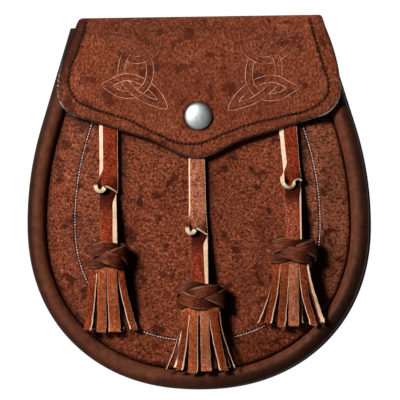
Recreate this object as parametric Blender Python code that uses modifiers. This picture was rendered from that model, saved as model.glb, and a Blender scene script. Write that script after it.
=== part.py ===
"""A leather day sporran: a small pouch worn at the front of a belt, lying on its back with its face up.

+X is to the right as the face is looked at, +Y is towards the mouth and the flap's fold, and +Z points
out of the face. The origin is under the middle of the pouch, on the surface it lies on. Units are metres.
"""

import math

import bmesh
import bpy
import numpy as np

# Outline of the pouch, seen from the front
HALF_WIDTH = 0.0926                 # at the seam flange, where the pouch is widest
HALF_HEIGHT = 0.1003                # from the bottom seam to the flap's fold, halved
WIDEST_Y = -0.0105
BOTTOM_POWER = 2.17                 # the round bottom is a superellipse of this power
SHOULDER_RADIUS = 0.180             # arc from the widest place into the straight upper sides
SIDE_LEAN = math.radians(17.0)      # how far the upper sides lean inwards
MOUTH_Y = 0.0880                    # top edges of the two panels
GUSSET_TOP_Y = 0.0940
RIM_STEPS = 20                      # straight steps along each side of the outline

# Leather and clearances
LEATHER = 0.0022                    # panels and flap
GUSSET_LEATHER = 0.0020
THONG = 0.0022                      # straps
GAP = 0.0003                        # between pieces that touch

# Levels above the surface that the pouch lies on
BACK_Z = 0.0070                     # outer face of the back panel along its seam
FACE_Z = 0.0325                     # outer face of the front panel
FLAP_Z = FACE_Z + THONG + LEATHER + 2 * GAP     # outer face of the flap, which lies on the straps

# Gusset section: u is measured outwards from the outline, z upwards
ROLL_RADIUS = 0.0049                # of the rolled rim, outside
ROLL_U = -0.0055
ROLL_Z = 0.0281
ROLL_FACETS = 7
INNER_FLANGE_Z = 0.0246             # lower edge of the turned-in seam with the front panel
WALL_SWEEP_Z = 0.0195               # under the roll the wall sweeps in, through this height
WALL_WAIST_Z = 0.0140               # down to its waist, where it stands furthest in
WALL_WAIST_U = -0.0041
FLANGE_BEND = 0.0010                # size of the bend into the turned-out back flange

# Front panel
FACE_INSET = 0.0107                 # its edge, inside the rolled rim
FACE_EDGE_Z = 0.0290
FACE_CROWN_WIDTH = 0.0160           # the panel rises over this distance from its edge
FACE_RING_SHARES = (1.0, 0.96, 0.92, 0.87, 0.76)
CROWN_LINE_TOP_Y = 0.1080           # the line that this distance is measured from runs on past the mouth
CROWN_LINE_STEPS = 60
MOUTH_STEPS = 8

# Bulge of the back panel, which the pouch lies on
BULGE_CENTRE_Y = -0.0390
BULGE_HALF_WIDTH = 0.0800
BULGE_HALF_HEIGHT = 0.0520
BULGE_FLAT = 0.5                    # share of the bulge that is flat
BULGE_RING_SHARES = (1.0, 0.9, 0.8, 0.7, 0.6, BULGE_FLAT)

# Flap: its widths are measured from its own middle, which lies a little right of the pouch's
FOLD_RADIUS = 0.0070
FOLD_Y = HALF_HEIGHT - FOLD_RADIUS
FLAP_X = 0.0026
FLAP_HALF_WIDTH = 0.0764
FLAP_FOLD_HALF_WIDTH = 0.0672
FLAP_TOP_HALF_WIDTH = 0.0643
FLAP_TAIL_HALF_WIDTH = 0.0610
FLAP_TAIL_Y = 0.0740
FLAP_CORNER_RADIUS = 0.0150
FLAP_FLANK_Y = 0.0259               # height at which the straight flanks would meet in the middle
FLAP_FLANK_SLOPE = 0.309
FLAP_SKEW = -0.020                  # the edge was cut a little askew, lower on the right
FLAP_TIP_X = -0.0013                # place of the rounded point
FLAP_TIP_DIP = 0.0044
FLAP_TIP_HALF_WIDTH = 0.0260
FLAP_TIP_ROUNDING = 0.0080
FLAP_FLARE_POWER = 1.6              # how late the sides flare out below the fold
FLAP_SIDE_DROOP = 0.0012
FLAP_DROOP_X = 0.0480               # the sides start to sink here
FLAP_DROOP_WIDTH = 0.0280
FLAP_DROOP_LENGTH = 0.0200          # and reach their full droop this far below the fold
FLAP_FOLD_STEPS = 4                 # straight steps in each quarter of the fold

# Press stud
SNAP_X = 0.0015
SNAP_Y = 0.0463
SNAP_RADIUS = 0.0075
SNAP_HEIGHT = 0.0030
SNAP_RIM = 0.0006                   # height of the cap's upright edge
SOCKET_RADIUS = 0.0060
SOCKET_HEIGHT = 0.0010
SOCKET_NECK_RADIUS = 0.0034
SOCKET_RECESS_RADIUS = 0.0024
SOCKET_RECESS_DEPTH = 0.0020
STUD_FLANGE_RADIUS = 0.0045
STUD_FLANGE_HEIGHT = 0.0007
STUD_NECK_RADIUS = 0.0016
STUD_CLINCH_HEIGHT = 0.0008

# Belt loops
LOOP_X = 0.0450
LOOP_WIDTH = 0.0220
LOOP_TOP_Y = 0.0700
LOOP_BOTTOM_Y = 0.0210
LOOP_FOOT = 0.0090
LOOP_RAMP = 0.0050
LOOP_LEATHER = 0.0020

# Straps and tassels
STRAP_WIDTH = 0.0100
STRAP_END_WIDTH = 0.0122            # where the upper strap ends over its slit loop
CURL_LENGTH = 0.0100                # stretch over which that end curls up
CURL_RISE = 0.0050
CURL_WAVE = 0.0017                  # the curled end is S-shaped by this much
CURL_CROWDING = 1.6                 # rows of the strap crowd towards its curled end
END_BELOW_LOOP = 0.0010             # the upper run ends this far below the loop's middle
RUN_ABOVE_LOOP = 0.0060             # the lower run starts this far above it
RUN_WIDTH = 0.0094
KNOT_DEPTH = 0.0150
KNOT_WALL = 0.0030
KNOT_END_SHARE = 0.80               # size of the knot's ends against its middle
KNOT_LEADS = 3
KNOT_BIGHTS = 4
KNOT_RELIEF = 0.0014
WEAVE_SWING = 0.56                  # how far a strand's middle swings up and down, of half the height
STRAND_HALF = 0.40                  # half a strand's width, of half the height
STRAND_UNDER = 0.35                 # share of the relief that is left where a strand passes under
STRAND_CROWN = 0.3
HEAD_BELOW_TOP = 0.0010             # the rolled head ends this far inside the knot's top
HEAD_BELOW_KNOT = 0.0025            # the rolled head shows this much under the knot
STRIP_WIDTH = 0.0054
STRIP_THICKNESS = 0.0018
STRIP_REST = 0.0008                 # the hindmost strips lie this far above the face, just over the rim
STRIP_END_BOW = 0.0030              # the outer strips end this much higher than the middle ones
HEAD_SHARE = 0.90                   # share of the head's width that the strips start from
STRIP_TILT = 0.35                   # slope of the outer strips across, where they leave the head
FAN_POWER = 1.4                     # the strips fan out late

TASSEL_COLUMNS = ("side", "strap_x", "strap_top_y", "loop_y", "knot_x", "knot_y", "knot_width", "knot_height",
                  "fringe_y", "fringe_x", "fringe_spread", "weave_turn")
TASSEL_ROWS = (
    ("left", -0.0470, 0.0580, 0.0072, -0.0485, -0.0274, 0.0244, 0.0146, -0.0682, -0.0470, 0.0300, 0.2),
    ("centre", 0.0006, 0.0370, -0.0160, 0.0021, -0.0490, 0.0276, 0.0166, -0.0907, 0.0010, 0.0379, 0.9),
    ("right", 0.0502, 0.0580, 0.0100, 0.0506, -0.0258, 0.0278, 0.0136, -0.0656, 0.0491, 0.0368, 1.6),
)
TASSELS = [dict(zip(TASSEL_COLUMNS, row)) for row in TASSEL_ROWS]

# Linear colours, roughness and metallic value
FINISHES = {
    "mottled_leather": ((0.175, 0.043, 0.021), 0.55, 0.0),
    "rim_leather": ((0.080, 0.026, 0.015), 0.45, 0.0),
    "back_leather": ((0.060, 0.022, 0.014), 0.60, 0.0),
    "thong_leather": ((0.240, 0.045, 0.018), 0.50, 0.0),
    "knot_leather": ((0.110, 0.030, 0.015), 0.50, 0.0),
    "fringe_leather": ((0.260, 0.072, 0.033), 0.60, 0.0),
    "nickel": ((0.560, 0.570, 0.560), 0.28, 1.0),
}


def smooth_step(value):
    """Rise smoothly from 0 to 1 while value goes from 0 to 1."""
    value = min(max(value, 0.0), 1.0)
    return value * value * (3.0 - 2.0 * value)


def right_outline(samples=90):
    """Right half of the pouch's outline, dense, from the bottom up past the top."""
    power = 2.0 / BOTTOM_POWER
    depth = HALF_HEIGHT + WIDEST_Y
    points = []
    for i in range(samples + 1):
        angle = 0.5 * math.pi * i / samples
        points.append((HALF_WIDTH * math.sin(angle) ** power,
                       WIDEST_Y - depth * abs(math.cos(angle)) ** power))
    for i in range(1, samples // 3 + 1):
        angle = SIDE_LEAN * 3 * i / samples
        points.append((HALF_WIDTH - SHOULDER_RADIUS * (1.0 - math.cos(angle)),
                       WIDEST_Y + SHOULDER_RADIUS * math.sin(angle)))
    x, y = points[-1]
    run = (1.2 * HALF_HEIGHT - y) / math.cos(SIDE_LEAN)
    points.append((x - run * math.sin(SIDE_LEAN), y + run * math.cos(SIDE_LEAN)))
    return np.array(points)


def rim_path(inset, top_y, count):
    """Outline moved inwards by inset, from the top left round the bottom to the top right.

    It has count even steps on each side, and ends at the height top_y.
    """
    right = right_outline()
    whole = np.vstack([right[:0:-1] * (-1.0, 1.0), right])
    tangent = np.gradient(whole, axis=0)
    tangent /= np.linalg.norm(tangent, axis=1)[:, None]
    outward = np.column_stack([tangent[:, 1], -tangent[:, 0]])
    moved = (whole - inset * outward)[len(right) - 1:]
    below = moved[moved[:, 1] < top_y]
    last, beyond = below[-1], moved[len(below)]
    share = (top_y - last[1]) / (beyond[1] - last[1])
    half = np.vstack([below, last + share * (beyond - last)])
    half[0, 0] = 0.0
    travel = np.concatenate([[0.0], np.cumsum(np.linalg.norm(np.diff(half, axis=0), axis=1))])
    steps = np.linspace(0.0, travel[-1], count + 1)
    half = np.column_stack([np.interp(steps, travel, half[:, 0]), np.interp(steps, travel, half[:, 1])])
    return np.vstack([half[:0:-1] * (-1.0, 1.0), half])


def make_material(name):
    """Principled material of the named finish, made once."""
    material = bpy.data.materials.get(name)
    if material:
        return material
    colour, roughness, metallic = FINISHES[name]
    material = bpy.data.materials.new(name)
    material.use_nodes = True
    shader = material.node_tree.nodes["Principled BSDF"]
    shader.inputs["Base Color"].default_value = (*colour, 1.0)
    shader.inputs["Roughness"].default_value = roughness
    shader.inputs["Metallic"].default_value = metallic
    material.diffuse_color = (*colour, 1.0)
    return material


def add_object(name, data, collection, finish=None):
    """Put a mesh or curve in the collection as a named object with its finish."""
    thing = bpy.data.objects.new(name, data)
    collection.objects.link(thing)
    if finish:
        data.materials.append(make_material(finish))
    return thing


def mesh_from(bm, name):
    """Turn a bmesh into a mesh with its faces pointing the same way."""
    bmesh.ops.recalc_face_normals(bm, faces=bm.faces)
    mesh = bpy.data.meshes.new(name)
    bm.to_mesh(mesh)
    bm.free()
    return mesh


def loft(rings, closed, capped=False):
    """Skin of quads through rings of points with equal counts, with its end rings filled if capped."""
    bm = bmesh.new()
    loops = [[bm.verts.new(point) for point in ring] for ring in rings]
    for low, high in zip(loops, loops[1:]):
        count = len(low) if closed else len(low) - 1
        for i in range(count):
            j = (i + 1) % len(low)
            bm.faces.new((low[i], low[j], high[j], high[i]))
    if capped:
        bm.faces.new(loops[0])
        bm.faces.new(loops[-1])
    return bm


def add_wall(thing, thickness, upwards):
    """Give an open sheet its thickness, on the side that faces up or down."""
    mesh = thing.data
    lean = sum(face.normal.z * face.area for face in mesh.polygons)
    if (lean > 0.0) != upwards:
        mesh.flip_normals()
    wall = thing.modifiers.new("wall", "SOLIDIFY")
    wall.thickness = thickness
    wall.offset = 1.0
    wall.use_even_offset = True


def freeze(thing):
    """Replace an object's modifiers, or its curve, by the mesh that they make, with its caps welded."""
    graph = bpy.context.evaluated_depsgraph_get()
    mesh = bpy.data.meshes.new_from_object(thing.evaluated_get(graph))
    bm = bmesh.new()
    bm.from_mesh(mesh)
    bmesh.ops.remove_doubles(bm, verts=bm.verts, dist=1e-6)
    bmesh.ops.recalc_face_normals(bm, faces=bm.faces)
    bm.to_mesh(mesh)
    bm.free()
    if thing.type == "MESH":
        thing.modifiers.clear()
        thing.data = mesh
        return thing
    name, collection, matrix = thing.name, thing.users_collection[0], thing.matrix_world.copy()
    bpy.data.objects.remove(thing)
    solid = bpy.data.objects.new(name, mesh)
    solid.matrix_world = matrix
    collection.objects.link(solid)
    return solid


def boolean(thing, tool, operation):
    """Join a tool to an object or cut it with it, and leave the plain result."""
    change = thing.modifiers.new("change", "BOOLEAN")
    change.operation = operation
    change.solver = "EXACT"
    change.object = tool
    bpy.context.view_layer.update()
    freeze(thing)
    bpy.data.objects.remove(tool)


def make_gusset(parts, guides):
    """Side wall: a strip sewn in behind the face, rolled over as the rim and turned out at the back."""
    half = 0.5 * GUSSET_LEATHER
    flange_z = BACK_Z + LEATHER + GAP + half
    middle = ROLL_RADIUS - half
    line = [(ROLL_U - middle, INNER_FLANGE_Z)]
    for i in range(ROLL_FACETS + 1):
        angle = math.pi * (1.0 - i / ROLL_FACETS)
        line.append((ROLL_U + middle * math.cos(angle), ROLL_Z + middle * math.sin(angle)))
    roll_side = ROLL_U + middle
    line += [(0.5 * (roll_side + WALL_WAIST_U + half), WALL_SWEEP_Z),
             (WALL_WAIST_U, WALL_WAIST_Z),
             (WALL_WAIST_U + 0.3 * FLANGE_BEND, flange_z + FLANGE_BEND),
             (WALL_WAIST_U + 1.3 * FLANGE_BEND, flange_z),
             (0.0, flange_z)]
    line = np.array(line)
    tangent = np.gradient(line, axis=0)
    tangent[0], tangent[-1] = line[1] - line[0], line[-1] - line[-2]
    tangent /= np.linalg.norm(tangent, axis=1)[:, None]
    side = np.column_stack([-tangent[:, 1], tangent[:, 0]]) * half
    section = np.vstack([line + side, (line - side)[::-1]])

    profile_curve = bpy.data.curves.new("gusset_section", "CURVE")
    spline = profile_curve.splines.new("POLY")
    spline.points.add(len(section) - 1)
    spline.use_cyclic_u = True
    for point, (u, z) in zip(spline.points, section):
        point.co = (u, z, 0.0, 1.0)
    profile = add_object("gusset_section", profile_curve, guides)

    path_curve = bpy.data.curves.new("gusset", "CURVE")
    path_curve.dimensions = "2D"
    path = rim_path(0.0, GUSSET_TOP_Y, RIM_STEPS)
    spline = path_curve.splines.new("POLY")
    spline.points.add(len(path) - 1)
    for point, (x, y) in zip(spline.points, path):
        point.co = (x, y, 0.0, 1.0)
    path_curve.bevel_mode = "OBJECT"
    path_curve.bevel_object = profile
    path_curve.use_fill_caps = True
    gusset = add_object("gusset", path_curve, parts)
    bpy.context.view_layer.update()
    gusset = freeze(gusset)
    gusset.data.materials.append(make_material("rim_leather"))


def panel_loop(inset):
    """Closed edge of a panel: the inset outline, then the straight mouth edge from right to left."""
    path = rim_path(inset, MOUTH_Y, RIM_STEPS)
    mouth = [path[-1] + (path[0] - path[-1]) * i / MOUTH_STEPS for i in range(1, MOUTH_STEPS)]
    return np.vstack([path, mouth])


def panel_rings(loop, shares, height):
    """Rings of a panel, shrunk towards the middle by each share, at the height that each point has."""
    return [[(x, y, height(x, y)) for x, y in share * loop] for share in shares]


def panel_sheet(rings):
    """Open sheet through the rings of a panel, filled inside the last one."""
    bm = loft(rings, closed=True)
    bm.verts.ensure_lookup_table()
    bm.faces.new(bm.verts[len(bm.verts) - len(rings[-1]):])
    return bm


def bulge_rings(loop, reaches):
    """Rings of the back's bulge: ellipses of each reach, level with the seam at 1, lowest inside."""
    rings = []
    for reach in reaches:
        height = BACK_Z * smooth_step((reach - BULGE_FLAT) / (1.0 - BULGE_FLAT))
        ring = []
        for x, y in loop:
            angle = math.atan2((y - BULGE_CENTRE_Y) / BULGE_HALF_HEIGHT, x / BULGE_HALF_WIDTH)
            ring.append((reach * BULGE_HALF_WIDTH * math.cos(angle),
                         BULGE_CENTRE_Y + reach * BULGE_HALF_HEIGHT * math.sin(angle), height))
        rings.append(ring)
    return rings


def make_back_panel(parts):
    """Back of the pouch: flat on the ground under its bulge, its edge level with the gusset's seam flange."""
    loop = panel_loop(0.0)
    rings = [[(x, y, BACK_Z) for x, y in loop]] + bulge_rings(loop, BULGE_RING_SHARES)
    panel = add_object("back_panel", mesh_from(panel_sheet(rings), "back_panel"), parts, "back_leather")
    add_wall(panel, LEATHER, upwards=True)


CROWN_LINE = rim_path(FACE_INSET, CROWN_LINE_TOP_Y, CROWN_LINE_STEPS)


def face_height(x, y):
    """Outer face of the front panel: it rises from its sewn edge and is flat further in."""
    distance = np.min(np.linalg.norm(CROWN_LINE - (x, y), axis=1))
    return FACE_EDGE_Z + (FACE_Z - FACE_EDGE_Z) * smooth_step(distance / FACE_CROWN_WIDTH)


def make_front_panel(parts, guides):
    """Face of the pouch, with its edge turned down against the gusset's inner flange."""
    rings = panel_rings(panel_loop(FACE_INSET), FACE_RING_SHARES, face_height)
    bm = panel_sheet(rings)
    sides = [edge for edge in bm.edges
             if edge.is_boundary and min(vert.co.y for vert in edge.verts) < MOUTH_Y - 1e-6]
    turned = bmesh.ops.extrude_edge_only(bm, edges=sides)["geom"]
    for vert in (item for item in turned if isinstance(item, bmesh.types.BMVert)):
        vert.co.z = INNER_FLANGE_Z
    panel = add_object("front_panel", mesh_from(bm, "front_panel"), parts, "mottled_leather")
    add_wall(panel, LEATHER, upwards=False)
    hole = add_cylinder("stud_hole", STUD_NECK_RADIUS + GAP, FACE_Z - 0.5 * LEATHER, 3 * LEATHER, guides)
    boolean(panel, hole, "DIFFERENCE")


def add_cylinder(name, radius, middle_z, height, guides):
    """Upright cutter on the press stud's axis."""
    bm = bmesh.new()
    bmesh.ops.create_cone(bm, cap_ends=True, segments=16, radius1=radius, radius2=radius, depth=height)
    bmesh.ops.translate(bm, verts=bm.verts, vec=(SNAP_X, SNAP_Y, middle_z))
    cutter = add_object(name, mesh_from(bm, name), guides)
    cutter.hide_render = True
    cutter.display_type = "WIRE"
    return cutter


def flap_flank_y(x):
    """Flap's straight flanks and the rounded point between them."""
    from_tip = abs(x - FLAP_TIP_X)
    near_tip = max(0.0, 1.0 - (from_tip / FLAP_TIP_HALF_WIDTH) ** 2)
    rounded = math.hypot(from_tip, FLAP_TIP_ROUNDING * near_tip)
    return FLAP_FLANK_Y + FLAP_FLANK_SLOPE * rounded - FLAP_TIP_DIP * near_tip ** 2 + FLAP_SKEW * x


def flap_edge_y(x):
    """Lower edge of the flap: its flanks and point, then an arc round each corner."""
    side = math.copysign(1.0, x)
    corner_x = FLAP_HALF_WIDTH - FLAP_CORNER_RADIUS
    slope = FLAP_FLANK_SLOPE + side * FLAP_SKEW
    steep = math.hypot(1.0, slope)
    if abs(x) < corner_x + FLAP_CORNER_RADIUS * slope / steep:
        return flap_flank_y(x)
    reach = min(abs(x) - corner_x, FLAP_CORNER_RADIUS)
    corner_y = flap_flank_y(side * corner_x) + FLAP_CORNER_RADIUS * steep
    return corner_y - math.sqrt(FLAP_CORNER_RADIUS ** 2 - reach ** 2)


def flap_half_width(y):
    """Half the flap's width, growing from the fold down to the round corners."""
    corner_y = flap_edge_y(FLAP_HALF_WIDTH)
    share = min(max((y - corner_y) / (FOLD_Y - corner_y), 0.0), 1.0)
    return FLAP_HALF_WIDTH - (FLAP_HALF_WIDTH - FLAP_FOLD_HALF_WIDTH) * share ** FLAP_FLARE_POWER


def flap_height(x, y):
    """Outer face of the flap, which sinks a little towards its sides."""
    at_side = smooth_step((abs(x) - FLAP_DROOP_X) / FLAP_DROOP_WIDTH)
    below_fold = smooth_step((FOLD_Y - y) / FLAP_DROOP_LENGTH)
    return FLAP_Z - FLAP_SIDE_DROOP * at_side * below_fold


def flap_wrap():
    """Rows of the flap behind its front: sewn tail, lower fold, top and upper fold, as y, z, half width."""
    tail_z = BACK_Z - GAP - LEATHER
    low = tail_z + FOLD_RADIUS
    high = FLAP_Z - FOLD_RADIUS
    rows = [(FLAP_TAIL_Y, tail_z, FLAP_TAIL_HALF_WIDTH)]
    quarters = ((-0.5 * math.pi, low, FLAP_TAIL_HALF_WIDTH, FLAP_TOP_HALF_WIDTH),
                (0.0, high, FLAP_TOP_HALF_WIDTH, FLAP_FOLD_HALF_WIDTH))
    for start, centre_z, first_width, last_width in quarters:
        for i in range(FLAP_FOLD_STEPS + 1):
            share = i / FLAP_FOLD_STEPS
            angle = start + 0.5 * math.pi * share
            rows.append((FOLD_Y + FOLD_RADIUS * math.cos(angle), centre_z + FOLD_RADIUS * math.sin(angle),
                         first_width + (last_width - first_width) * share))
    return rows


def make_flap(parts, guides, columns=24, front_rows=7):
    """Flap: one sheet from its sewn tail on the back, over the mouth and down the face.

    Its columns crowd towards the sides, where the round corners are.
    """
    wrap = flap_wrap()
    rows = len(wrap) - 1 + front_rows
    bm = bmesh.new()
    bmesh.ops.create_grid(bm, x_segments=columns, y_segments=rows, size=1.0)
    for vert in bm.verts:
        across = 0.6 * vert.co.x + 0.4 * math.sin(0.5 * math.pi * vert.co.x)
        row = round((1.0 - vert.co.y) * 0.5 * rows)
        if row < len(wrap):
            y, z, half_width = wrap[row]
            vert.co = (FLAP_X + across * half_width, y, z)
        else:
            share = (row - len(wrap) + 1) / front_rows
            y = FOLD_Y - share * (FOLD_Y - flap_edge_y(across * FLAP_HALF_WIDTH))
            x = across * flap_half_width(y)
            vert.co = (FLAP_X + x, y, flap_height(x, y))
    flap = add_object("flap", mesh_from(bm, "flap"), parts, "mottled_leather")
    add_wall(flap, LEATHER, upwards=False)
    hole = add_cylinder("snap_hole", SOCKET_NECK_RADIUS + GAP, FLAP_Z, 4 * LEATHER, guides)
    boolean(flap, hole, "DIFFERENCE")


def turn_profile(name, profile, parts, finish, steps=20):
    """Solid of revolution on the press stud's axis, from a profile that runs down its outer side."""
    bm = bmesh.new()
    verts = [bm.verts.new((radius, 0.0, z)) for radius, z in profile]
    for a, b in zip(verts, verts[1:]):
        bm.edges.new((a, b))
    mesh = bpy.data.meshes.new(name)
    bm.to_mesh(mesh)
    bm.free()
    turned = add_object(name, mesh, parts, finish)
    turned.location = (SNAP_X, SNAP_Y, 0.0)
    screw = turned.modifiers.new("turn", "SCREW")
    screw.steps = steps
    screw.render_steps = steps
    screw.use_merge_vertices = True
    screw.merge_threshold = 1e-5
    return turned


def make_snap(parts):
    """Press stud: cap and socket clinched through the flap, and the hidden stud clinched in the face."""
    cap_z = FLAP_Z + GAP
    socket_top = FLAP_Z - LEATHER - GAP
    socket_bottom = socket_top - SOCKET_HEIGHT
    recess_top = socket_bottom + SOCKET_RECESS_DEPTH
    profile = [(0.0, cap_z + SNAP_HEIGHT)]
    for i in range(1, 6):
        angle = math.radians(15.0 * i)
        profile.append((SNAP_RADIUS * math.sin(angle),
                        cap_z + SNAP_RIM + (SNAP_HEIGHT - SNAP_RIM) * math.cos(angle)))
    profile += [(SNAP_RADIUS, cap_z + SNAP_RIM), (SNAP_RADIUS - SNAP_RIM, cap_z), (SOCKET_NECK_RADIUS, cap_z),
                (SOCKET_NECK_RADIUS, socket_top), (SOCKET_RADIUS, socket_top), (SOCKET_RADIUS, socket_bottom),
                (SOCKET_RECESS_RADIUS, socket_bottom), (SOCKET_RECESS_RADIUS, recess_top), (0.0, recess_top)]
    turn_profile("snap_cap", profile, parts, "nickel")

    plate_bottom = FACE_Z + GAP
    plate_top = plate_bottom + STUD_FLANGE_HEIGHT
    knob = SOCKET_RECESS_RADIUS - GAP
    inside = FACE_Z - LEATHER - GAP
    clinch_bottom = inside - STUD_CLINCH_HEIGHT
    profile = [(0.0, recess_top - GAP), (knob, recess_top - GAP), (knob, plate_top),
               (STUD_FLANGE_RADIUS, plate_top), (STUD_FLANGE_RADIUS, plate_bottom),
               (STUD_NECK_RADIUS, plate_bottom), (STUD_NECK_RADIUS, inside), (STUD_FLANGE_RADIUS, inside),
               (STUD_FLANGE_RADIUS, clinch_bottom), (0.0, clinch_bottom)]
    turn_profile("snap_stud", profile, parts, "nickel", steps=16)


def make_belt_loop(name, x, parts):
    """Belt loop: a strip sewn down at both ends, its middle standing off the back for the belt."""
    foot_z = BACK_Z - GAP - LOOP_LEATHER
    line = [(LOOP_TOP_Y, foot_z), (LOOP_TOP_Y - LOOP_FOOT, foot_z),
            (LOOP_TOP_Y - LOOP_FOOT - LOOP_RAMP, 0.0), (LOOP_BOTTOM_Y + LOOP_FOOT + LOOP_RAMP, 0.0),
            (LOOP_BOTTOM_Y + LOOP_FOOT, foot_z), (LOOP_BOTTOM_Y, foot_z)]
    half = 0.5 * LOOP_WIDTH
    rings = [[(x - half, y, z), (x + half, y, z)] for y, z in line]
    strip = add_object(name, mesh_from(loft(rings, closed=False), name), parts, "back_leather")
    add_wall(strip, LOOP_LEATHER, upwards=True)


def sheet_strip(name, surface, columns, rows, thickness, collection, finish=None):
    """Strip of leather whose outer face is surface(across, along).

    across runs from -1 to 1 and along from 0 to 1.
    """
    bm = bmesh.new()
    bmesh.ops.create_grid(bm, x_segments=columns, y_segments=rows, size=1.0)
    for vert in bm.verts:
        vert.co = surface(vert.co.x, 0.5 * (1.0 - vert.co.y))
    strip = add_object(name, mesh_from(bm, name), collection, finish)
    add_wall(strip, thickness, upwards=False)
    return strip


def make_strap(tassel, parts, guides):
    """Thong: its upper run ends in a curled S over the slit loop, and its lower run goes to the knot."""
    lying_z = FACE_Z + GAP + THONG
    end_y = tassel["loop_y"] - END_BELOW_LOOP
    top_y = tassel["strap_top_y"]
    knot_top = tassel["knot_y"] + 0.5 * tassel["knot_height"]
    knot_z = FACE_Z + GAP + 0.5 * KNOT_DEPTH

    def upper(across, along):
        y = top_y + (end_y - top_y) * (1.0 - (1.0 - along) ** CURL_CROWDING)
        curl = smooth_step(1.0 - (y - end_y) / CURL_LENGTH)
        half = 0.5 * (STRAP_WIDTH + (STRAP_END_WIDTH - STRAP_WIDTH) * curl)
        wave = CURL_WAVE * curl * curl * math.sin(0.9 * math.pi * across)
        lift = CURL_RISE * curl * curl
        return (tassel["strap_x"] + across * half, y + 0.7 * wave, lying_z + lift + wave)

    def lower(across, along):
        start_y = tassel["loop_y"] + RUN_ABOVE_LOOP
        y = start_y + (knot_top - HEAD_BELOW_TOP + GAP - start_y) * along
        x = tassel["strap_x"] + (tassel["knot_x"] - tassel["strap_x"]) * along
        z = lying_z + (knot_z + 0.5 * THONG - lying_z) * smooth_step(along)
        return (x + across * 0.5 * RUN_WIDTH, y, z)

    name = "strap_" + tassel["side"]
    strap = freeze(sheet_strip(name, upper, 6, 9, THONG, parts, "thong_leather"))
    run = freeze(sheet_strip(name + "_run", lower, 2, 7, THONG, guides))
    boolean(strap, run, "UNION")


def weave_relief(angle, level, turn):
    """Relief of the woven knot at an angle round it and a level from -1 to 1: the highest strand there."""
    best = 0.0
    for lead in range(KNOT_LEADS):
        travel = (angle + turn + 2.0 * math.pi * lead) / KNOT_LEADS
        offset = abs(level - WEAVE_SWING * math.cos(KNOT_BIGHTS * travel)) / STRAND_HALF
        if offset < 1.0:
            over = 0.5 + 0.5 * math.sin(2.0 * KNOT_BIGHTS * travel)
            height = STRAND_UNDER + (1.0 - STRAND_UNDER) * over
            best = max(best, height * (1.0 - STRAND_CROWN * offset ** 2))
    return best


def knot_ring(tassel, level, swell, around):
    """One ring of the knot's outside at a level from -1, its lower edge, to 1."""
    centre_z = FACE_Z + GAP + 0.5 * KNOT_DEPTH
    ring = []
    for i in range(around):
        angle = 2.0 * math.pi * i / around
        relief = KNOT_RELIEF * (weave_relief(angle, level, tassel["weave_turn"]) - 1.0) * (1.0 - level ** 4)
        half_width = swell * 0.5 * tassel["knot_width"] + relief
        half_depth = swell * 0.5 * KNOT_DEPTH + relief
        ring.append((tassel["knot_x"] + half_width * math.cos(angle),
                     tassel["knot_y"] + 0.5 * tassel["knot_height"] * level,
                     centre_z + half_depth * math.sin(angle)))
    return ring


def knot_bore(tassel, around, clearance):
    """Points of the hole through the knot, as x and z offsets."""
    half_width = 0.5 * tassel["knot_width"] - KNOT_WALL - clearance
    half_depth = 0.5 * KNOT_DEPTH - KNOT_WALL - clearance
    turns = [2.0 * math.pi * i / around for i in range(around)]
    return [(half_width * math.cos(angle), half_depth * math.sin(angle)) for angle in turns]


def make_knot(tassel, parts, around=32, levels=8):
    """Turk's head knot: a woven leather ring round the tassel's rolled head."""
    centre_z = FACE_Z + GAP + 0.5 * KNOT_DEPTH
    half_height = 0.5 * tassel["knot_height"]
    bore = knot_bore(tassel, around, 0.0)
    rings = []
    for i in range(levels + 1):
        level = -1.0 + 2.0 * i / levels
        swell = KNOT_END_SHARE + (1.0 - KNOT_END_SHARE) * math.sqrt(max(0.0, 1.0 - level ** 4))
        rings.append(knot_ring(tassel, level, swell, around))
    for end in (half_height, -half_height):
        rings.append([(tassel["knot_x"] + x, tassel["knot_y"] + end, centre_z + z) for x, z in bore])
    rings.append(rings[0])
    bm = loft(rings, closed=True)
    bmesh.ops.remove_doubles(bm, verts=bm.verts, dist=1e-6)
    name = "knot_" + tassel["side"]
    add_object(name, mesh_from(bm, name), parts, "knot_leather")


def make_fringe(tassel, parts, guides, strips=5):
    """Tassel: leather rolled into a head inside the knot and cut into strips that fan out below it."""
    centre_x = tassel["knot_x"]
    centre_z = FACE_Z + GAP + 0.5 * KNOT_DEPTH
    knot_top = tassel["knot_y"] + 0.5 * tassel["knot_height"]
    knot_bottom = tassel["knot_y"] - 0.5 * tassel["knot_height"]
    bore = knot_bore(tassel, 20, GAP)
    name = "fringe_" + tassel["side"]
    head_rings = [[(centre_x + x, y, centre_z + z) for x, z in bore]
                  for y in (knot_bottom - HEAD_BELOW_KNOT, knot_top - HEAD_BELOW_TOP)]
    fringe = add_object(name, mesh_from(loft(head_rings, closed=True, capped=True), name), parts,
                        "fringe_leather")
    half_width = max(x for x, _ in bore)
    half_depth = max(z for _, z in bore)
    for layer in ("front", "behind"):
        for i in range(strips):
            spread = -1.0 + 2.0 * (i + 0.5) / strips
            strip = fringe_strip(tassel, layer, spread, strips, (half_width, half_depth, centre_z))
            strip = freeze(sheet_strip(name + "_strip", strip, 1, 5, STRIP_THICKNESS, guides))
            boolean(fringe, strip, "UNION")


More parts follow.
